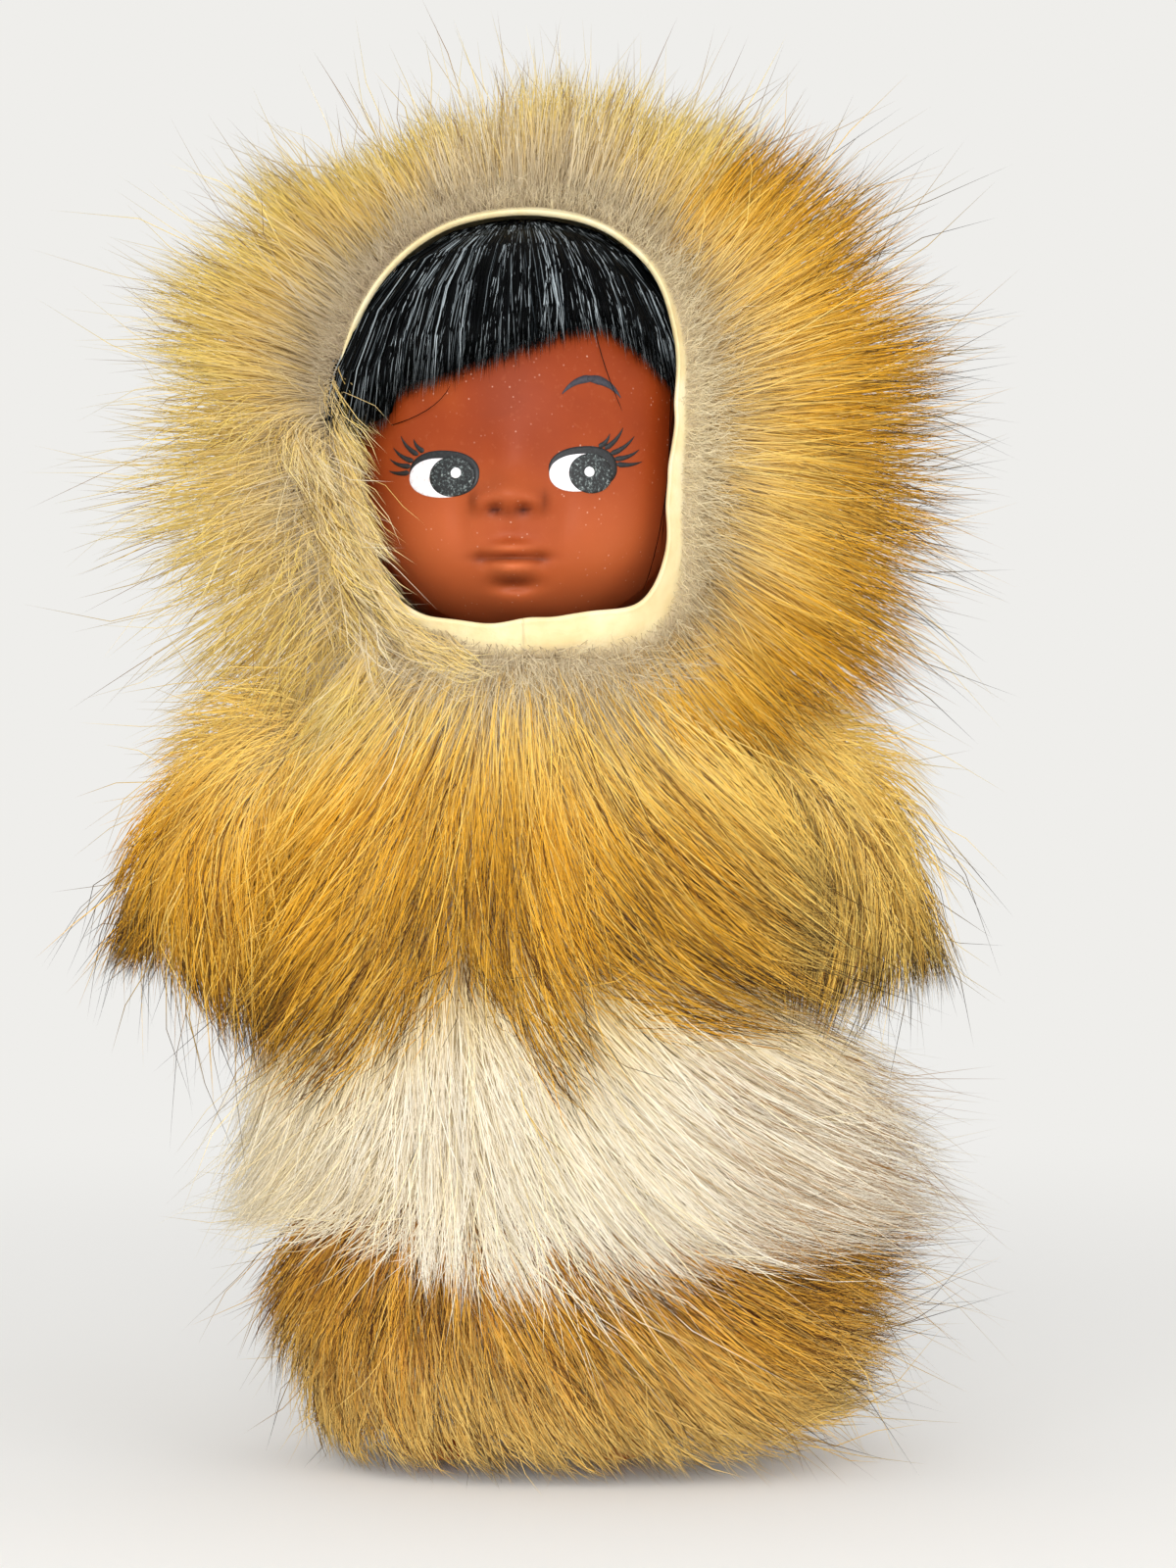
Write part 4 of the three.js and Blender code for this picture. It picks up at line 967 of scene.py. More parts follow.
def withinPile(place):
    # inside the hood fur's outer surface: nearer than reach by direction times profile by depth, and
    # behind the funnel of short wool round the opening; places are taken from the middle of the head
    across = np.hypot(place[..., 0], place[..., 2])
    reach = 1.05 * around(hood["reach"], np.arctan2(place[..., 2], place[..., 0]))   # hair thins out past it
    outer = reach * np.interp(place[..., 1], *np.array(hood["profile"]).T)
    return (across < outer) & (place[..., 1] > np.interp(across, *np.array(hood["funnel"]).T))


def lengthWithin(root, start, finish, longest):
    # a hair goes half its length along each of its two directions; halving finds the length that
    # brings its tip to the outer surface
    step = (unit(start) + unit(finish)) / 2
    low, high = np.zeros(len(root)), np.full(len(root), float(longest))
    for _ in range(14):
        middle = (low + high) / 2
        inside = withinPile(root + middle[:, None] * step - np.array([0, axisY, headZ]))
        low, high = np.where(inside, middle, low), np.where(inside, high, middle)
    return low


def hoodPale(path, side):
    # grey-cream near the opening, turning to the pelt's own colour by half-way out
    place = path - np.array([0, axisY, headZ])
    angle = np.arctan2(place[..., 2], place[..., 0])
    share = np.hypot(place[..., 0], place[..., 2]) / around(hood["reach"], angle)
    share = share + 0.04 * np.sin(7 * angle) + 0.03 * np.sin(17 * angle + place[..., 2] * 0.2)
    share = share + dice.normal(0, 0.05, (len(path), 1))
    degrees = np.mod(np.degrees(angle), 360)
    share = share - 0.24 * smooth(50, 75, degrees) * smooth(135, 110, degrees)   # the crown stays pale
    swept = smooth(165, 185, degrees) * smooth(240, 225, degrees)
    return (1 - smooth(*hood["paleTo"][side], share)) * (1 - 0.6 * swept)


def woolPale(path):
    # cream beside the rim on the doll's left and below, grey over the temple
    return around(hood["creamWool"], np.arctan2(path[..., 2] - headZ, path[..., 0]))


def growHoodPelt(side):
    # long fur, which starts out from the hide, turns outward and ends at the pile's outer surface
    fromT, toT = pelts()[side]
    share = (toT - fromT) / (2 * math.pi)
    count = int(hood["hairs"] * share) // thin
    u, v = evenPairs(count)
    t = fromT + (toT - fromT) * u
    degrees = np.mod(np.degrees(t), 360)
    edge = furEdge(t)
    # above, the long fur starts some way from the rim; low on the doll's right it starts at the rim
    peltEdge = edge + 0.06 + 0.14 * (1 - smooth(160, 180, degrees) * smooth(320, 300, degrees))
    inFront, frontTo = hood["frontShare"], hood["frontTo"]
    backShare = np.clip((v - inFront) / (1 - inFront), 0, 1)
    behind = np.arccos(math.cos(frontTo) - (1 + math.cos(frontTo)) * backShare)   # evenly over the back
    polar = np.where(v < inFront, peltEdge + (frontTo - peltEdge) * (v / inFront), behind)
    polar = polar + dice.normal(0, 0.012, count)
    fromRim = polar - edge
    root = hoodPoint(t, polar, hood["outside"] - 0.3)
    out = np.stack([np.cos(t), 0 * t, np.sin(t)], axis=-1)
    along = np.stack([-np.sin(t), 0 * t, np.cos(t)], axis=-1)
    normal = lookAt(t, polar)
    back = smooth(1.6, 2.5, polar)[:, None]
    sway = dice.normal(0, 0.15, (count, 1)) + 0.16 * np.sin(3 * t + 9 * polar)[:, None]
    leaning = smooth(1.0, 0.1, fromRim)[:, None] * dice.uniform(0.1, 1, (count, 1))
    forward = np.array([0, -1, 0]) * leaning
    start = normal + 0.5 * out + 0.5 * forward + dice.normal(0, 0.2, (count, 3))
    # away from the rim nearly half of the hairs lie back
    lyingBack = (dice.uniform(size=count) < 0.45) & (fromRim > 0.15)
    lying = np.array([0, 0.8, 0]) * lyingBack[:, None]
    finish = (out * (1 - 0.6 * back) + along * sway + np.array([0, 0.55, -0.4]) * back + 0.55 * forward
              + lying + np.array([0, 0.12, 0]) * (1 - back) + dice.normal(0, 0.25, (count, 3)))
    length = lengthWithin(root, start, finish, hood["longest"])
    length = length * (1.2 - 0.62 * dice.uniform(0, 1, count) ** 2)

    # low on the doll's right the hair sweeps over the edge towards the chin
    sweep = smooth(158, 182, degrees) * (1 - smooth(226, 238, degrees)) * (1 - smooth(0.3, 0.55, fromRim))
    sweep = (sweep * (dice.uniform(size=count) < 0.9))[:, None]
    finish = mixed(finish, np.array([0.85, -0.2, -0.5]) + dice.normal(0, 0.15, (count, 3)), sweep)
    start = mixed(start, 0.8 * normal + np.array([0.3, -0.5, -0.3]), sweep)
    length = mixed(length, dice.uniform(*hood["sweptLength"], count), sweep[:, 0])

    # low in front the hair lies down over the collar
    low = smooth(-0.72, -0.95, np.sin(t))[:, None] * (1 - back)
    finish = mixed(finish, np.stack([np.cos(t) * 1.9, 0 * t - 0.1, 0 * t - 1], axis=-1), low)
    length = mixed(length, dice.uniform(14, 28, count) + 48 * np.abs(np.cos(t)) ** 1.5, low[:, 0])

    # the left pelt has dark tips towards the doll's left, the right one hardly any
    outer = smooth(0.75, 1.35, polar)
    if side == "left":
        tipped = (0.35 + 0.95 * outer) * smooth(-0.2, 0.6, np.cos(t)) * dice.uniform(-0.25, 1.15, count)
    else:
        tipped = outer * dice.uniform(0, 1, count) ** 4
    keep = root[:, 2] > hood["bottom"] + 0.05
    path = strandsAlong(root[keep], start[keep], finish[keep], length[keep], hood["steps"], hood["wave"])
    growFur(f"hood_pelt_{side}", "coat_and_torso", [f"hood_fur_{side}"],
            goldFur if side == "left" else strawFur, path, normal[keep], tipped[keep],
            lambda path: hoodPale(path, side), tone=0.8, contrast=0.62 + 0.8 * sweep[keep, 0],
            coarse=(9.0, 0.42, 0.2), fine=(3.4, 0.38, 0.1))


def growHoodWool(side):
    # short tangled wool round the opening
    fromT, toT = pelts()[side]
    share = (toT - fromT) / (2 * math.pi)
    count = int(hood["wool"] * share) // thin
    u, v = evenPairs(count, 50)
    t = fromT + (toT - fromT) * u
    edge = furEdge(t)
    polar = edge + 0.7 * v ** 1.2
    root = hoodPoint(t, polar, hood["outside"] - 0.3)
    normal = lookAt(t, polar)
    out = np.stack([np.cos(t), 0 * t, np.sin(t)], axis=-1)
    start = normal + 0.35 * out + dice.normal(0, 0.6, (count, 3))
    finish = 0.8 * out + 0.5 * normal + dice.normal(0, 0.95, (count, 3))
    length = mixed(6, 20, smooth(0, 0.35, polar - edge)) * dice.uniform(0.7, 1.2, count)
    keep = root[:, 2] > hood["bottom"] + 0.05
    path = strandsAlong(root[keep], start[keep], finish[keep], length[keep], 3, hood["wave"])
    growFur(f"hood_wool_{side}", "coat_and_torso", [f"hood_fur_{side}"], woolFur, path,
            normal[keep], 0 * t[keep], woolPale, tone=0.75, contrast=0.5, radius=0.08,
            coarse=(6.0, 0.2, 0.1), fine=(2.6, 0.4, 0.1), guard=0.0)


for side in ("left", "right"):
    growHoodPelt(side)
    growHoodWool(side)


def growEdge():
    # strands lie over the rim from beside the temple to below the chin
    count = hood["edgeHairs"] // thin
    u, v = evenPairs(count, 9)
    t = np.radians(mixed(158, 250, u ** 0.85))
    polar = mouthPolar(t) + 0.02 + 0.35 * v ** 1.5
    root = hoodPoint(t, polar, hood["outside"] - 0.2)
    normal = lookAt(t, polar)
    low = smooth(208, 242, np.degrees(t))[:, None]   # from down the cheek to level under the chin
    finish = mixed(np.array([0.65, 0.0, -0.75]), np.array([1.0, -0.15, -0.1]), low)
    finish = finish + dice.normal(0, 0.2, (count, 3))
    start = 0.5 * normal + np.array([0.45, -0.6, -0.35]) + dice.normal(0, 0.16, (count, 3))
    length = dice.uniform(*hood["edgeLength"], count) * (1 - 0.2 * low[:, 0])
    growFur("hood_edge", "coat_and_torso", ["hood_fur_right"], strawFur,
            strandsAlong(root, start, finish, length, hood["steps"], 2.4), normal, 0 * t,
            lambda path: 0.4 + 0 * path[..., 0], tone=0.85, radius=0.1, fine=(3.2, 0.35, 0.1), guard=0.02)


growEdge()
print("hood fur grown")


# Coat: a tube of hide from the collar to the hem
coat = {
    "sideHalf": 35.4, "chestDepth": 24.0, "hemHalf": 45.0, "hemDepth": 32.0, "hemLean": 6.0, "hide": 1.2,
    "hemRise": 10.0, "collar": hood["bottom"], "coatTo": hipZ + 17, "whiteTo": hipZ - 31,
    "seam": 0.3,   # between one tier's hide and the next
}
collarRadius = float(eggRadius(np.array(shoulderZ + 20.0), hood["outside"], hood["jaw"]))


def sectionPoint(angle, z, halfWide, halfDeep, lean, power):
    # x = lean + a |cos|^(2/n), y = axis + b |sin|^(2/n)
    c, s = np.cos(angle), np.sin(angle)
    x = lean + halfWide * np.sign(c) * np.abs(c) ** (2 / power)
    y = axisY + halfDeep * np.sign(s) * np.abs(s) ** (2 / power)
    return np.stack([x, y, z + 0 * x], axis=-1)


def coatSection(z):
    # half width, half depth, lean and squareness of the tube at a height
    collar = smooth(shoulderZ + 6, shoulderZ + 20, z)
    flare = 1 - smooth(coat["hemRise"], hipZ + 8, z)
    halfWide = mixed(mixed(coat["sideHalf"], coat["hemHalf"], flare), collarRadius, collar)
    halfDeep = mixed(mixed(coat["chestDepth"], coat["hemDepth"], flare), collarRadius, collar)
    return halfWide, halfDeep, coat["hemLean"] * flare, mixed(2.8, 2.0, collar)


def coatPoint(angle, z, grow=0.0):
    halfWide, halfDeep, lean, power = coatSection(z)
    return sectionPoint(angle, z, halfWide + grow, halfDeep + grow, lean, power)


def coatNormal(angle, z):
    # the way round crossed with the way up, both by central differences
    step = 0.02
    alongAngle = coatPoint(angle + step, z) - coatPoint(angle - step, z)
    alongZ = coatPoint(angle, z + 1) - coatPoint(angle, z - 1)
    return unit(np.cross(alongAngle, alongZ))


def evenAngles(share, fromAngle, toAngle):
    # angles at equal steps of the way along the section at the hips
    angle = np.linspace(fromAngle, toAngle, 2000)
    steps = np.linalg.norm(np.diff(coatPoint(angle, hipZ + 0 * angle), axis=0), axis=1)
    way = np.append(0, np.cumsum(steps))
    return np.interp(share, way / way[-1], angle)


halves = {"front": (math.pi, 2 * math.pi), "back": (0.0, math.pi)}


def makeCoatHide():
    # a closed strip of hide: outside up, over the top edge, inside down
    hides = {
        "coat": (coat["coatTo"], coat["collar"]),
        "white_band": (coat["whiteTo"], coat["coatTo"] - coat["seam"]),
        "hem_band": (coat["hemRise"], coat["whiteTo"] - coat["seam"]),
    }
    columns, rows = 70, 14
    for name, (low, high) in hides.items():
        for half, (fromAngle, toAngle) in halves.items():
            angle = evenAngles(np.linspace(0.002, 0.998, columns), fromAngle, toAngle)[None, :]
            z = np.linspace(low, high, rows)[:, None]
            outer = coatPoint(angle, z + 0 * angle)
            inner = coatPoint(angle, z[::-1] + 0 * angle, -coat["hide"])
            under = 0.2 if name == "white_band" else 1.0   # pale wool under the white hair
            furry = np.concatenate([np.full(outer.shape[:2], under), np.zeros(inner.shape[:2])])
            meshPiece(f"{name}_skin_{half}", np.concatenate([outer, inner]), foldedFaces(2 * rows, columns),
                      "coat_and_torso", hide, [f"{name}_hide_{half}"],
                      attributes={"furry": furry})


makeCoatHide()

# The fur's outer surface round the coat: height, lean, half width, half depth
pile = [(0, 12.5, 54, 38), (20, 11, 72, 41), (48, 12, 79, 43), (70, 13, 75, 43), (88, 12.5, 71, 42),
        (104, 5, 64, 43), (140, 0, 54, 42), (166, 0, 52, 37)]
pilePower = 2.3

# Heights at which the fur of the coat and sleeves, the white tier and the hem ends, by place across
coatBorder = [(-90, 112), (-85, 102), (-80, 97), (-70, 84), (-62, 76), (-52, 71), (-44, 77), (-36, 87),
              (-27, 98), (-18, 103), (-10, 99), (-3, 97), (4, 88), (10, 66), (16, 68), (22, 84), (29, 98),
              (37, 104), (48, 103), (56, 92), (75, 88), (85, 97), (92, 110)]
whiteBorder = [(-60, 52), (-45, 52), (-30, 47), (-12, 38), (4, 33), (24, 30), (42, 36), (58, 44),
               (70, 48), (86, 51)]
hemBorder = [(-60, 5), (-48, 2), (-40, 1), (-32, 2), (-24, 2), (-12, 1), (0, 1), (8, 2), (16, 3), (26, 2),
             (38, 1), (48, 5), (62, 4), (80, 8)]

# Tiers of fur, rooted from low to high. Each hair runs from the hide to the outer surface lower down by
# drop, less level at the doll's left, and ends out mm past the pile. Sweep carries it aside by so much a
# drop, from the doll's right to its left. Stray is how uneven the border is, and locks how deep its locks.
tiers = {
    "coat": {
        "node": "coat_fur", "slot": "gold_fur", "low": coat["coatTo"], "high": shoulderZ + 19.5,
        "hairs": 13000, "tone": 0.82, "drop": (18, 50), "level": 0, "out": 1.5, "sweep": (-0.6, -0.3, 0.05, 0.6, 1.1),
        "border": coatBorder, "stray": 3.0, "locks": 1.6,
    },
    "white": {
        "node": "white_band_fur", "slot": "white_fur", "low": coat["whiteTo"], "high": hipZ + 27,
        "hairs": 12500, "tone": 0.74, "drop": (24, 50), "level": 20, "out": 0.0, "sweep": (-0.1, -0.05, 0.3, 0.55, 0.15),
        "border": whiteBorder, "stray": 3.5, "locks": 1.5,
    },
    "hem": {
        "node": "hem_band_fur", "slot": "brown_fur", "low": 11.0, "high": hipZ - 22, "hairs": 13000,
        "tone": 0.88, "drop": (14, 34), "level": 26, "out": -1.0, "sweep": (0.1, 0.0, 0.25, 0.6, 0.3),
        "border": hemBorder, "stray": 2.0, "locks": 0.7,
    },
}
halfShare = {"front": 0.5, "back": 0.35}   # of a tier's hairs


def pilePoint(angle, z, grow=0.0):
    heights, *columns = np.array(pile, dtype=float).T
    lean, halfWide, halfDeep = (np.interp(z, heights, column) for column in columns)
    return sectionPoint(angle, z, halfWide + grow, halfDeep + grow, lean, pilePower)


def borderAt(table, x, locks=1.0):
    # the table's height, with locks of about 14 and 6 mm
    wave = 2.2 * np.sin(0.45 * x + 1) + 1.6 * np.sin(1.07 * x)
    return np.interp(x, *np.array(table, dtype=float).T) + locks * wave


def coatPale(path):
    # straw over the shoulders and the doll's left side, deep gold in the middle of the chest
    x, z = path[..., 0], path[..., 2]
    level = z + 0.24 * np.maximum(x, 0) + 4 * np.sin(0.09 * x + 0.5) + dice.normal(0, 4, (len(path), 1))
    return np.maximum(smooth(128, 156, level), 0.75 * smooth(30, 62, x + 0.5 * (z - 120)))


def whitePale(path):
    # yellower on the doll's right and under the coat's edge
    x, z = path[..., 0], path[..., 2]
    return smooth(-15, -50, x + 6 * np.sin(0.2 * z)) * 0.45 + 0.9 * smooth(76, 98, z + 5 * np.sin(0.12 * x))


def hemPale(path):
    # paler towards the ground
    return smooth(36, 8, path[..., 2] + 4 * np.sin(0.15 * path[..., 0]) + dice.normal(0, 4, (len(path), 1)))


def growTier(name, material, pale):
    # roots lie evenly on the hide, and the tips on the pile's outer surface, no lower than the border
    tier = tiers[name]
    for half, (fromAngle, toAngle) in halves.items():
        u, v = evenPairs(int(tier["hairs"] * halfShare[half]) // thin)
        angle = evenAngles(u, fromAngle, toAngle)
        z = tier["low"] + (tier["high"] - tier["low"]) * v
        root, normal = coatPoint(angle, z, -0.3), coatNormal(angle, z)
        halfWide, _, lean, _ = coatSection(z)
        across = np.clip((root[:, 0] - lean) / halfWide, -1, 1)
        swept = np.interp(across, np.linspace(-1, 1, len(tier["sweep"])), tier["sweep"])
        leastDrop, mostDrop = tier["drop"]
        # on the doll's left side the fur stands out level as well
        leastDrop = leastDrop - tier["level"] * smooth(0.45, 0.9, across)
        drop = mixed(leastDrop, mostDrop, dice.uniform(0, 1, len(z)))
        spread = pilePoint(angle, z - drop)[:, 0] + swept * drop
        border = borderAt(tier["border"], spread, tier["locks"])
        keep = z > border + 5
        if name == "coat":
            # the arms come out at the sides, so the coat's own fur keeps to the front and back there
            keep &= (np.abs(root[:, 1] - axisY) > 11) | (z > shoulderZ + 13)
        root, normal, angle, z, swept, drop, border = (
            values[keep] for values in (root, normal, angle, z, swept, drop, border))
        count = len(z)
        tipZ = np.maximum(z - drop, np.minimum(border + dice.normal(0, tier["stray"], count), z + 20))
        depth = dice.uniform(0, 1, count) ** 3   # most hairs end at the surface, some under it
        level = np.maximum(tipZ, 0.5)
        target = pilePoint(angle, level, tier["out"] - 9 * depth)
        rightEnd, leftEnd = (pilePoint(end, level)[:, 0] for end in (math.pi, 0.0))
        target[:, 0] = np.clip(target[:, 0] + swept * np.abs(z - tipZ), rightEnd + dice.uniform(-2, 7, count),
                               leftEnd - dice.uniform(-2, 7, count))
        target += dice.normal(0, 3.4, (count, 3)) * np.array([1, 0.5, 0.6])
        lead = normal * 0.9 + np.stack([0.5 * swept, 0 * z, 0 * z - 0.75], axis=-1)
        lead = lead + dice.normal(0, 0.3, (count, 3))
        # high up the fur is even, towards its edge the hairs differ more and have dark tips
        near, above = smooth(16, 2, tipZ - border), smooth(12, 45, tipZ - border)
        darkness = {
            "coat": 0.45 * (1 - above) + 1.5 * near,
            "white": 0.12 + 0.75 * smooth(40, 75, target[:, 0]),
            "hem": 0.4 + 0.9 * smooth(15, 45, tipZ),
        }[name]
        tipped = darkness * dice.uniform(-0.1, 1.15, count)
        contrast = {"coat": mixed(2.3, 0.9, above), "white": 0.6, "hem": 2.2}[name]
        # painted shade: darker towards the top of the hem, under the white tier's hair
        tone = tier["tone"] - (0.3 * smooth(36, 54, z) if name == "hem" else 0)   # the hem starts darker
        growFur(f"{name}_pelt_{half}", "coat_and_torso", [f"{tier['node']}_{half}"], material,
                strandsTo(root, lead, target, 4, 2.6), normal, tipped, pale, tone, contrast,
                coarse=(9.0, 0.66, 0.24))


growTier("coat", goldFur, coatPale)
growTier("white", whiteFur, whitePale)
growTier("hem", brownFur, hemPale)

# Short wool that stands out of the seam between hood and coat, in millimetres down from it
collar = {"hairs": 2400, "height": 13, "length": (9, 21)}


def growCollar():
    # half-way down, outward and down by half as much, and well tangled
    count = collar["hairs"] // thin
    u, v = evenPairs(count, 21)
    angle = evenAngles(u, math.pi, 2 * math.pi)
    z = coat["collar"] - collar["height"] * v ** 1.4
    root, normal = coatPoint(angle, z, -0.3), coatNormal(angle, z)
    finish = normal + np.array([0, 0, -0.5]) + dice.normal(0, 0.7, (count, 3))
    start = normal + dice.normal(0, 0.4, (count, 3))
    length = dice.uniform(*collar["length"], count)
    growFur("collar_wool", "coat_and_torso", ["coat_fur_front"], woolFur,
            strandsAlong(root, start, finish, length, 3, 2.4), normal, 0 * z,
            lambda path: 0.35 + 0 * path[..., 0], tone=0.8, contrast=0.5, radius=0.08,
            coarse=(6.0, 0.2, 0.1), fine=(2.6, 0.4, 0.1), guard=0.0)


growCollar()
print("tiers grown")


# Sleeves: hide tubes round the arms, with fur combed along them and down
arm = {
    "start": 31.5, "reach": 32.5, "drop": 47.0, "root": 36.3,
    "radius": 10.5, "wrist": 7.0, "hand": 8.3, "cuff": 10 / 12, "hairs": 6400,
    # the fur's reach beyond the sleeve's root by the drop from the shoulder, and its depth to front and back
    "pile": [(-30, 28), (-20, 42), (-8, 46), (0, 46), (19, 48.5), (35, 52), (46, 50), (56, 42), (68, 30)],
    "depth": 20.0,
}


def armMiddle(share):
    # a cubic Bezier from the shoulder out and down to the hand
    farX, lowZ = arm["start"] + arm["reach"], shoulderZ - arm["drop"]
    a, b, c, d = np.array([
        [arm["start"], shoulderZ], [arm["start"] + arm["reach"] * 0.55, shoulderZ],
        [farX, shoulderZ - arm["drop"] * 0.3], [farX, lowZ]])
    t = np.asarray(share)[..., None]
    return (1 - t) ** 3 * a + 3 * (1 - t) ** 2 * t * b + 3 * (1 - t) * t ** 2 * c + t ** 3 * d


def armTangent(share):
    # the way between two near places on the arm's middle
    return unit(armMiddle(share + 0.005) - armMiddle(share - 0.005))


def armWidth(share):
    # the arm's radius tapers to the wrist, swells to the hand and rounds off at its end
    taper = mixed(arm["radius"], arm["wrist"], smooth(0.2, arm["cuff"], share))
    swell = (arm["hand"] - arm["wrist"]) * smooth(arm["cuff"], 0.93, share)
    return (taper + swell) * (1 - 0.55 * smooth(0.94, 1.0, share))


def sleevePoint(share, angle, grow, side):
    # middle + radius (cos across the arm, sin along Y), mirrored by side
    middle, along = armMiddle(share), armTangent(share)
    radius = armWidth(share) + grow
    x = middle[..., 0] + radius * np.cos(angle) * along[..., 1]
    z = middle[..., 1] - radius * np.cos(angle) * along[..., 0]
    y = axisY + radius * np.sin(angle)
    return np.stack([side * x, y + 0 * x, z], axis=-1)


def makeSleeveHide(name, body, side):
    # a tube with its wall: outside to the cuff and inside back, cut off at the sleeve's root
    rows, columns = 40, 48
    angle = np.linspace(0, 2 * math.pi, columns, endpoint=False)[None, :]
    share = np.linspace(0.08, arm["cuff"], rows)[:, None] + 0 * angle
    outer, inner = sleevePoint(share, angle, 1.5, side), sleevePoint(share[::-1], angle, 0.3, side)
    points = np.concatenate([outer, inner])
    points[..., 0] = side * np.maximum(side * points[..., 0], arm["root"])
    faces = ringFaces(2 * rows, columns)
    meshPiece(f"sleeve_skin_{name}", points, faces if side > 0 else faces[:, ::-1], body, hide,
              [f"sleeve_hide_{name}"], attributes={"furry": np.ones(points[..., 0].size)})


def growSleeve(name, body, side):
    # fur from the hide to the sleeve's outer surface lower down
    u, v = evenPairs(arm["hairs"] // thin)
    # one hair in nine starts at the cuff's very edge and hangs over the hand
    share = 0.1 + (arm["cuff"] - 0.1) * np.minimum(1.1 * u ** 0.85, 1)
    root = sleevePoint(share, 2 * math.pi * v, 1.2, side)
    middle = armMiddle(share)
    normal = unit(root - np.stack([side * middle[:, 0], 0 * share + axisY, middle[:, 1]], axis=-1))
    keep = side * root[:, 0] > arm["root"] + 0.3
    root, normal = root[keep], normal[keep]
    count = len(root)
    out = np.clip(side * normal[:, 0] + 0.5 * np.maximum(normal[:, 2], 0), 0, 1)
    drop = dice.uniform(16, 50, count) - 36 * smooth(0.3, 0.95, normal[:, 2])
    border = borderAt(coatBorder, root[:, 0] + side * 14 * out)
    tipZ = np.maximum(root[:, 2] - drop, np.minimum(border + dice.normal(0, 3, count), root[:, 2] - 3))
    reach = np.interp(shoulderZ - tipZ, *np.array(arm["pile"], dtype=float).T)
    depth = dice.uniform(0, 1, count) ** 3   # most hairs end at the surface, some under it
    outward = arm["root"] + (1.07 * reach - 8 * depth) * out ** 0.7
    inward = side * root[:, 0] - 3.0 * (1 - out)
    x = side * np.maximum(outward, inward)
    y = axisY + (arm["depth"] - 6 * depth) * np.sign(normal[:, 1]) * np.abs(normal[:, 1]) ** 0.6
    target = np.stack([x, y, tipZ], axis=-1) + dice.normal(0, 2.2, (count, 3)) * np.array([1, 0.5, 0.6])
    lead = normal + np.array([0.25 * side, 0, -0.5]) + dice.normal(0, 0.3, (count, 3))
    near, above = smooth(18, 3, tipZ - border), smooth(12, 45, tipZ - border)
    tipped = (0.45 * (1 - above) + 1.4 * near + 0.2 * out) * dice.uniform(-0.1, 1.15, count)
    growFur(f"sleeve_pelt_{name}", body, [f"sleeve_fur_{name}"], goldFur,
            strandsTo(root, lead, target, 4, 2.4), normal, tipped, coatPale, tone=0.8,
            contrast=mixed(2.2, 0.9, above), coarse=(9.0, 0.62, 0.2))


for name, body, side in (("left", "left_arm", 1), ("right", "right_arm", -1)):
    makeSleeveHide(name, body, side)
    growSleeve(name, body, side)
print("sleeves grown")


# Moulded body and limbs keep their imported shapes
def plasticMaterial():
    # blow-moulded polyethylene: satin and faintly clouded, in clouds of about 11 mm
    material, tree, shader = newMaterial("blow-moulded brown plastic", {"Roughness": 0.52})
    place = addNode(tree, "ShaderNodeTexCoord").outputs["Object"]
    cloud = addNode(tree, "ShaderNodeTexNoise", inputs={
        "Vector": place, "Scale": 0.09 * cellsPerMm, "Detail": 3.0}).outputs["Fac"]
    color = addNode(tree, "ShaderNodeValToRGB", inputs={"Fac": cloud}, stops=[
        (0.3, "#93452A"), (0.7, "#A5502F")]).outputs["Color"]
    tree.links.new(color, shader.inputs["Base Color"])
    return material


plastic = plasticMaterial()
for nodeName, surface in {
    "torso_front": plastic, "torso_back": plastic, "arm_left": vinyl, "arm_right": vinyl,
    "leg_left": vinyl, "leg_right": vinyl,
}.items():
    cadPiece = frame["nodes"][nodeName]
    cadPiece.data.materials.clear()
    cadPiece.data.materials.append(surface)


# Floor, light and camera: the photograph looks straight at the face
studio = {
    "lens": 90.0, "sensor": 36.0, "distance": 800.0, "aimX": 13.0, "aimZ": 141.0,
    "paper": "#F2F1EE", "seenPaper": "#EFEEEB", "paperHalf": 6.0,   # metres
    "fadeFrom": 0.14, "fadeTo": 0.75,   # metres from the doll over which the paper turns to plain pale
    "sky": 0.78,
    # square lamps: place and side in millimetres, and power in watts
    "lamps": {
        "key": ((-300, -1000, 600), 900, 3.6),
        "fill": ((800, -800, 350), 1000, 3.0),
        "face": ((0, -1100, 230), 400, 5.0),
    },
}


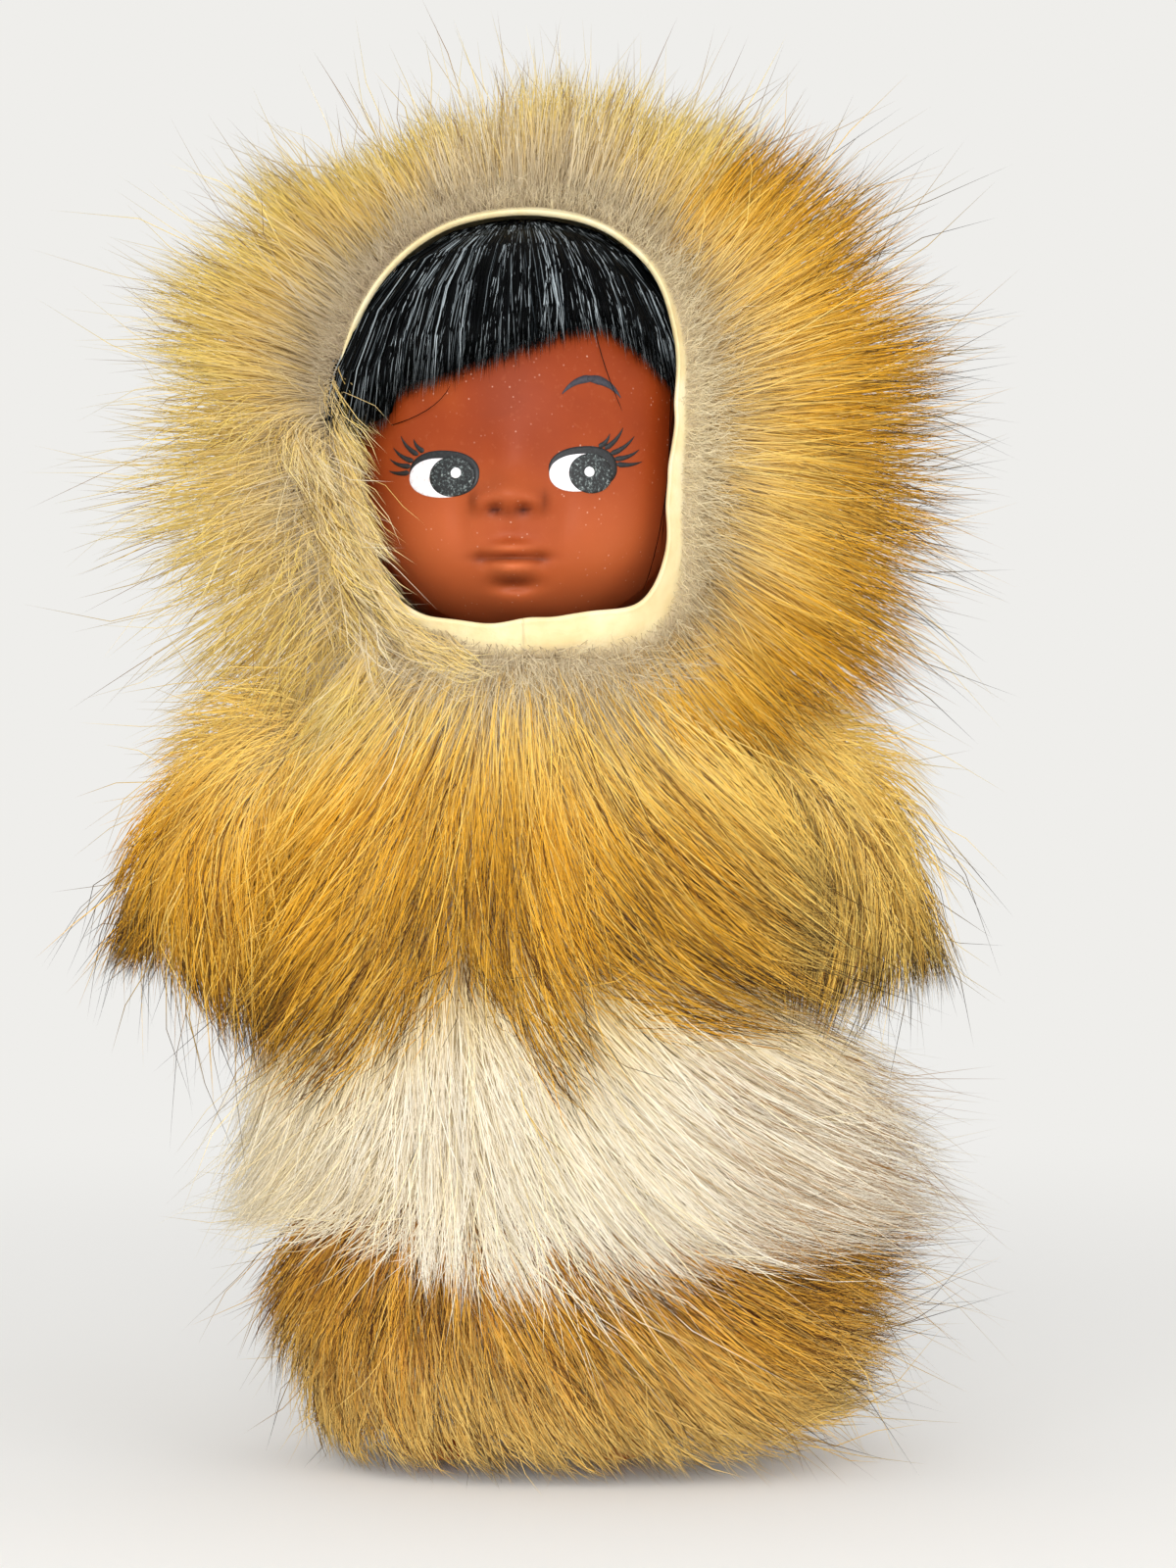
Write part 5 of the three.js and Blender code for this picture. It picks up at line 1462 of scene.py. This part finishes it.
def layPaper():
    # matt white paper, which turns for the camera alone to a plain pale ground away from the doll
    size = studio["paperHalf"]
    corners = [(-size, -size, 0), (size, -size, 0), (size, size, 0), (-size, size, 0)]
    floor = bpy.data.meshes.new("paper floor")
    floor.from_pydata(corners, [], [(0, 1, 2, 3)])
    floorPiece = bpy.data.objects.new("paper_floor", floor)
    bpy.context.scene.collection.objects.link(floorPiece)
    material, tree, shader = newMaterial("matt white paper", {
        "Base Color": linearColor(studio["paper"]), "Roughness": 0.9})
    place = addNode(tree, "ShaderNodeTexCoord").outputs["Object"]
    distance = addNode(tree, "ShaderNodeVectorMath", {"operation": "LENGTH"}, {0: place}).outputs["Value"]
    fade = addNode(tree, "ShaderNodeMapRange", {"interpolation_type": "SMOOTHSTEP"}, {
        "Value": distance, "From Min": studio["fadeFrom"], "From Max": studio["fadeTo"]}).outputs["Result"]
    seen = addNode(tree, "ShaderNodeLightPath").outputs["Is Camera Ray"]
    both = addNode(tree, "ShaderNodeMath", {"operation": "MULTIPLY"}, {0: fade, 1: seen}).outputs["Value"]
    glow = addNode(tree, "ShaderNodeEmission", inputs={
        "Color": linearColor(studio["seenPaper"]), "Strength": 1.0}).outputs[0]
    blended = addNode(tree, "ShaderNodeMixShader", inputs={0: both, 1: shader.outputs[0], 2: glow}).outputs[0]
    tree.links.new(blended, tree.nodes["Material Output"].inputs["Surface"])
    floor.materials.append(material)


def lightStudio():
    # a plain white sky, seen as the paper's pale ground, and three large lamps aimed at the doll
    world = bpy.data.worlds.new("studio")
    bpy.context.scene.world = world
    world.use_nodes = True
    tree = world.node_tree
    tree.nodes.clear()
    seen = addNode(tree, "ShaderNodeLightPath").outputs["Is Camera Ray"]
    lit = addNode(tree, "ShaderNodeBackground", inputs={
        "Color": linearColor("#FFFFFF"), "Strength": studio["sky"]}).outputs[0]
    pale = addNode(tree, "ShaderNodeBackground", inputs={
        "Color": linearColor(studio["seenPaper"]), "Strength": 1.0}).outputs[0]
    both = addNode(tree, "ShaderNodeMixShader", inputs={0: seen, 1: lit, 2: pale}).outputs[0]
    addNode(tree, "ShaderNodeOutputWorld", inputs={"Surface": both})

    for name, (place, size, power) in studio["lamps"].items():
        lamp = bpy.data.lights.new(name, "AREA")
        lamp.energy = power
        lamp.size = size / 1000
        holder = bpy.data.objects.new(name, lamp)
        bpy.context.scene.collection.objects.link(holder)
        holder.location = Vector(place) / 1000
        holder.rotation_euler = (Vector((0, 0, 150)) - Vector(place)).to_track_quat("-Z", "Y").to_euler()


def placeCamera():
    # level, in front of the face by the distance
    camera = bpy.data.cameras.new("camera")
    camera.lens = studio["lens"]
    camera.sensor_width = studio["sensor"]
    camera.clip_start, camera.clip_end = 0.01, 50
    holder = bpy.data.objects.new("camera", camera)
    holder.location = (studio["aimX"] / 1000, (axisY - 22 - studio["distance"]) / 1000, studio["aimZ"] / 1000)
    holder.rotation_euler = (math.pi / 2, 0, 0)
    bpy.context.scene.collection.objects.link(holder)
    bpy.context.scene.camera = holder
    bpy.context.scene.view_settings.view_transform = "Standard"


layPaper()
lightStudio()
placeCamera()
print("doll ready")
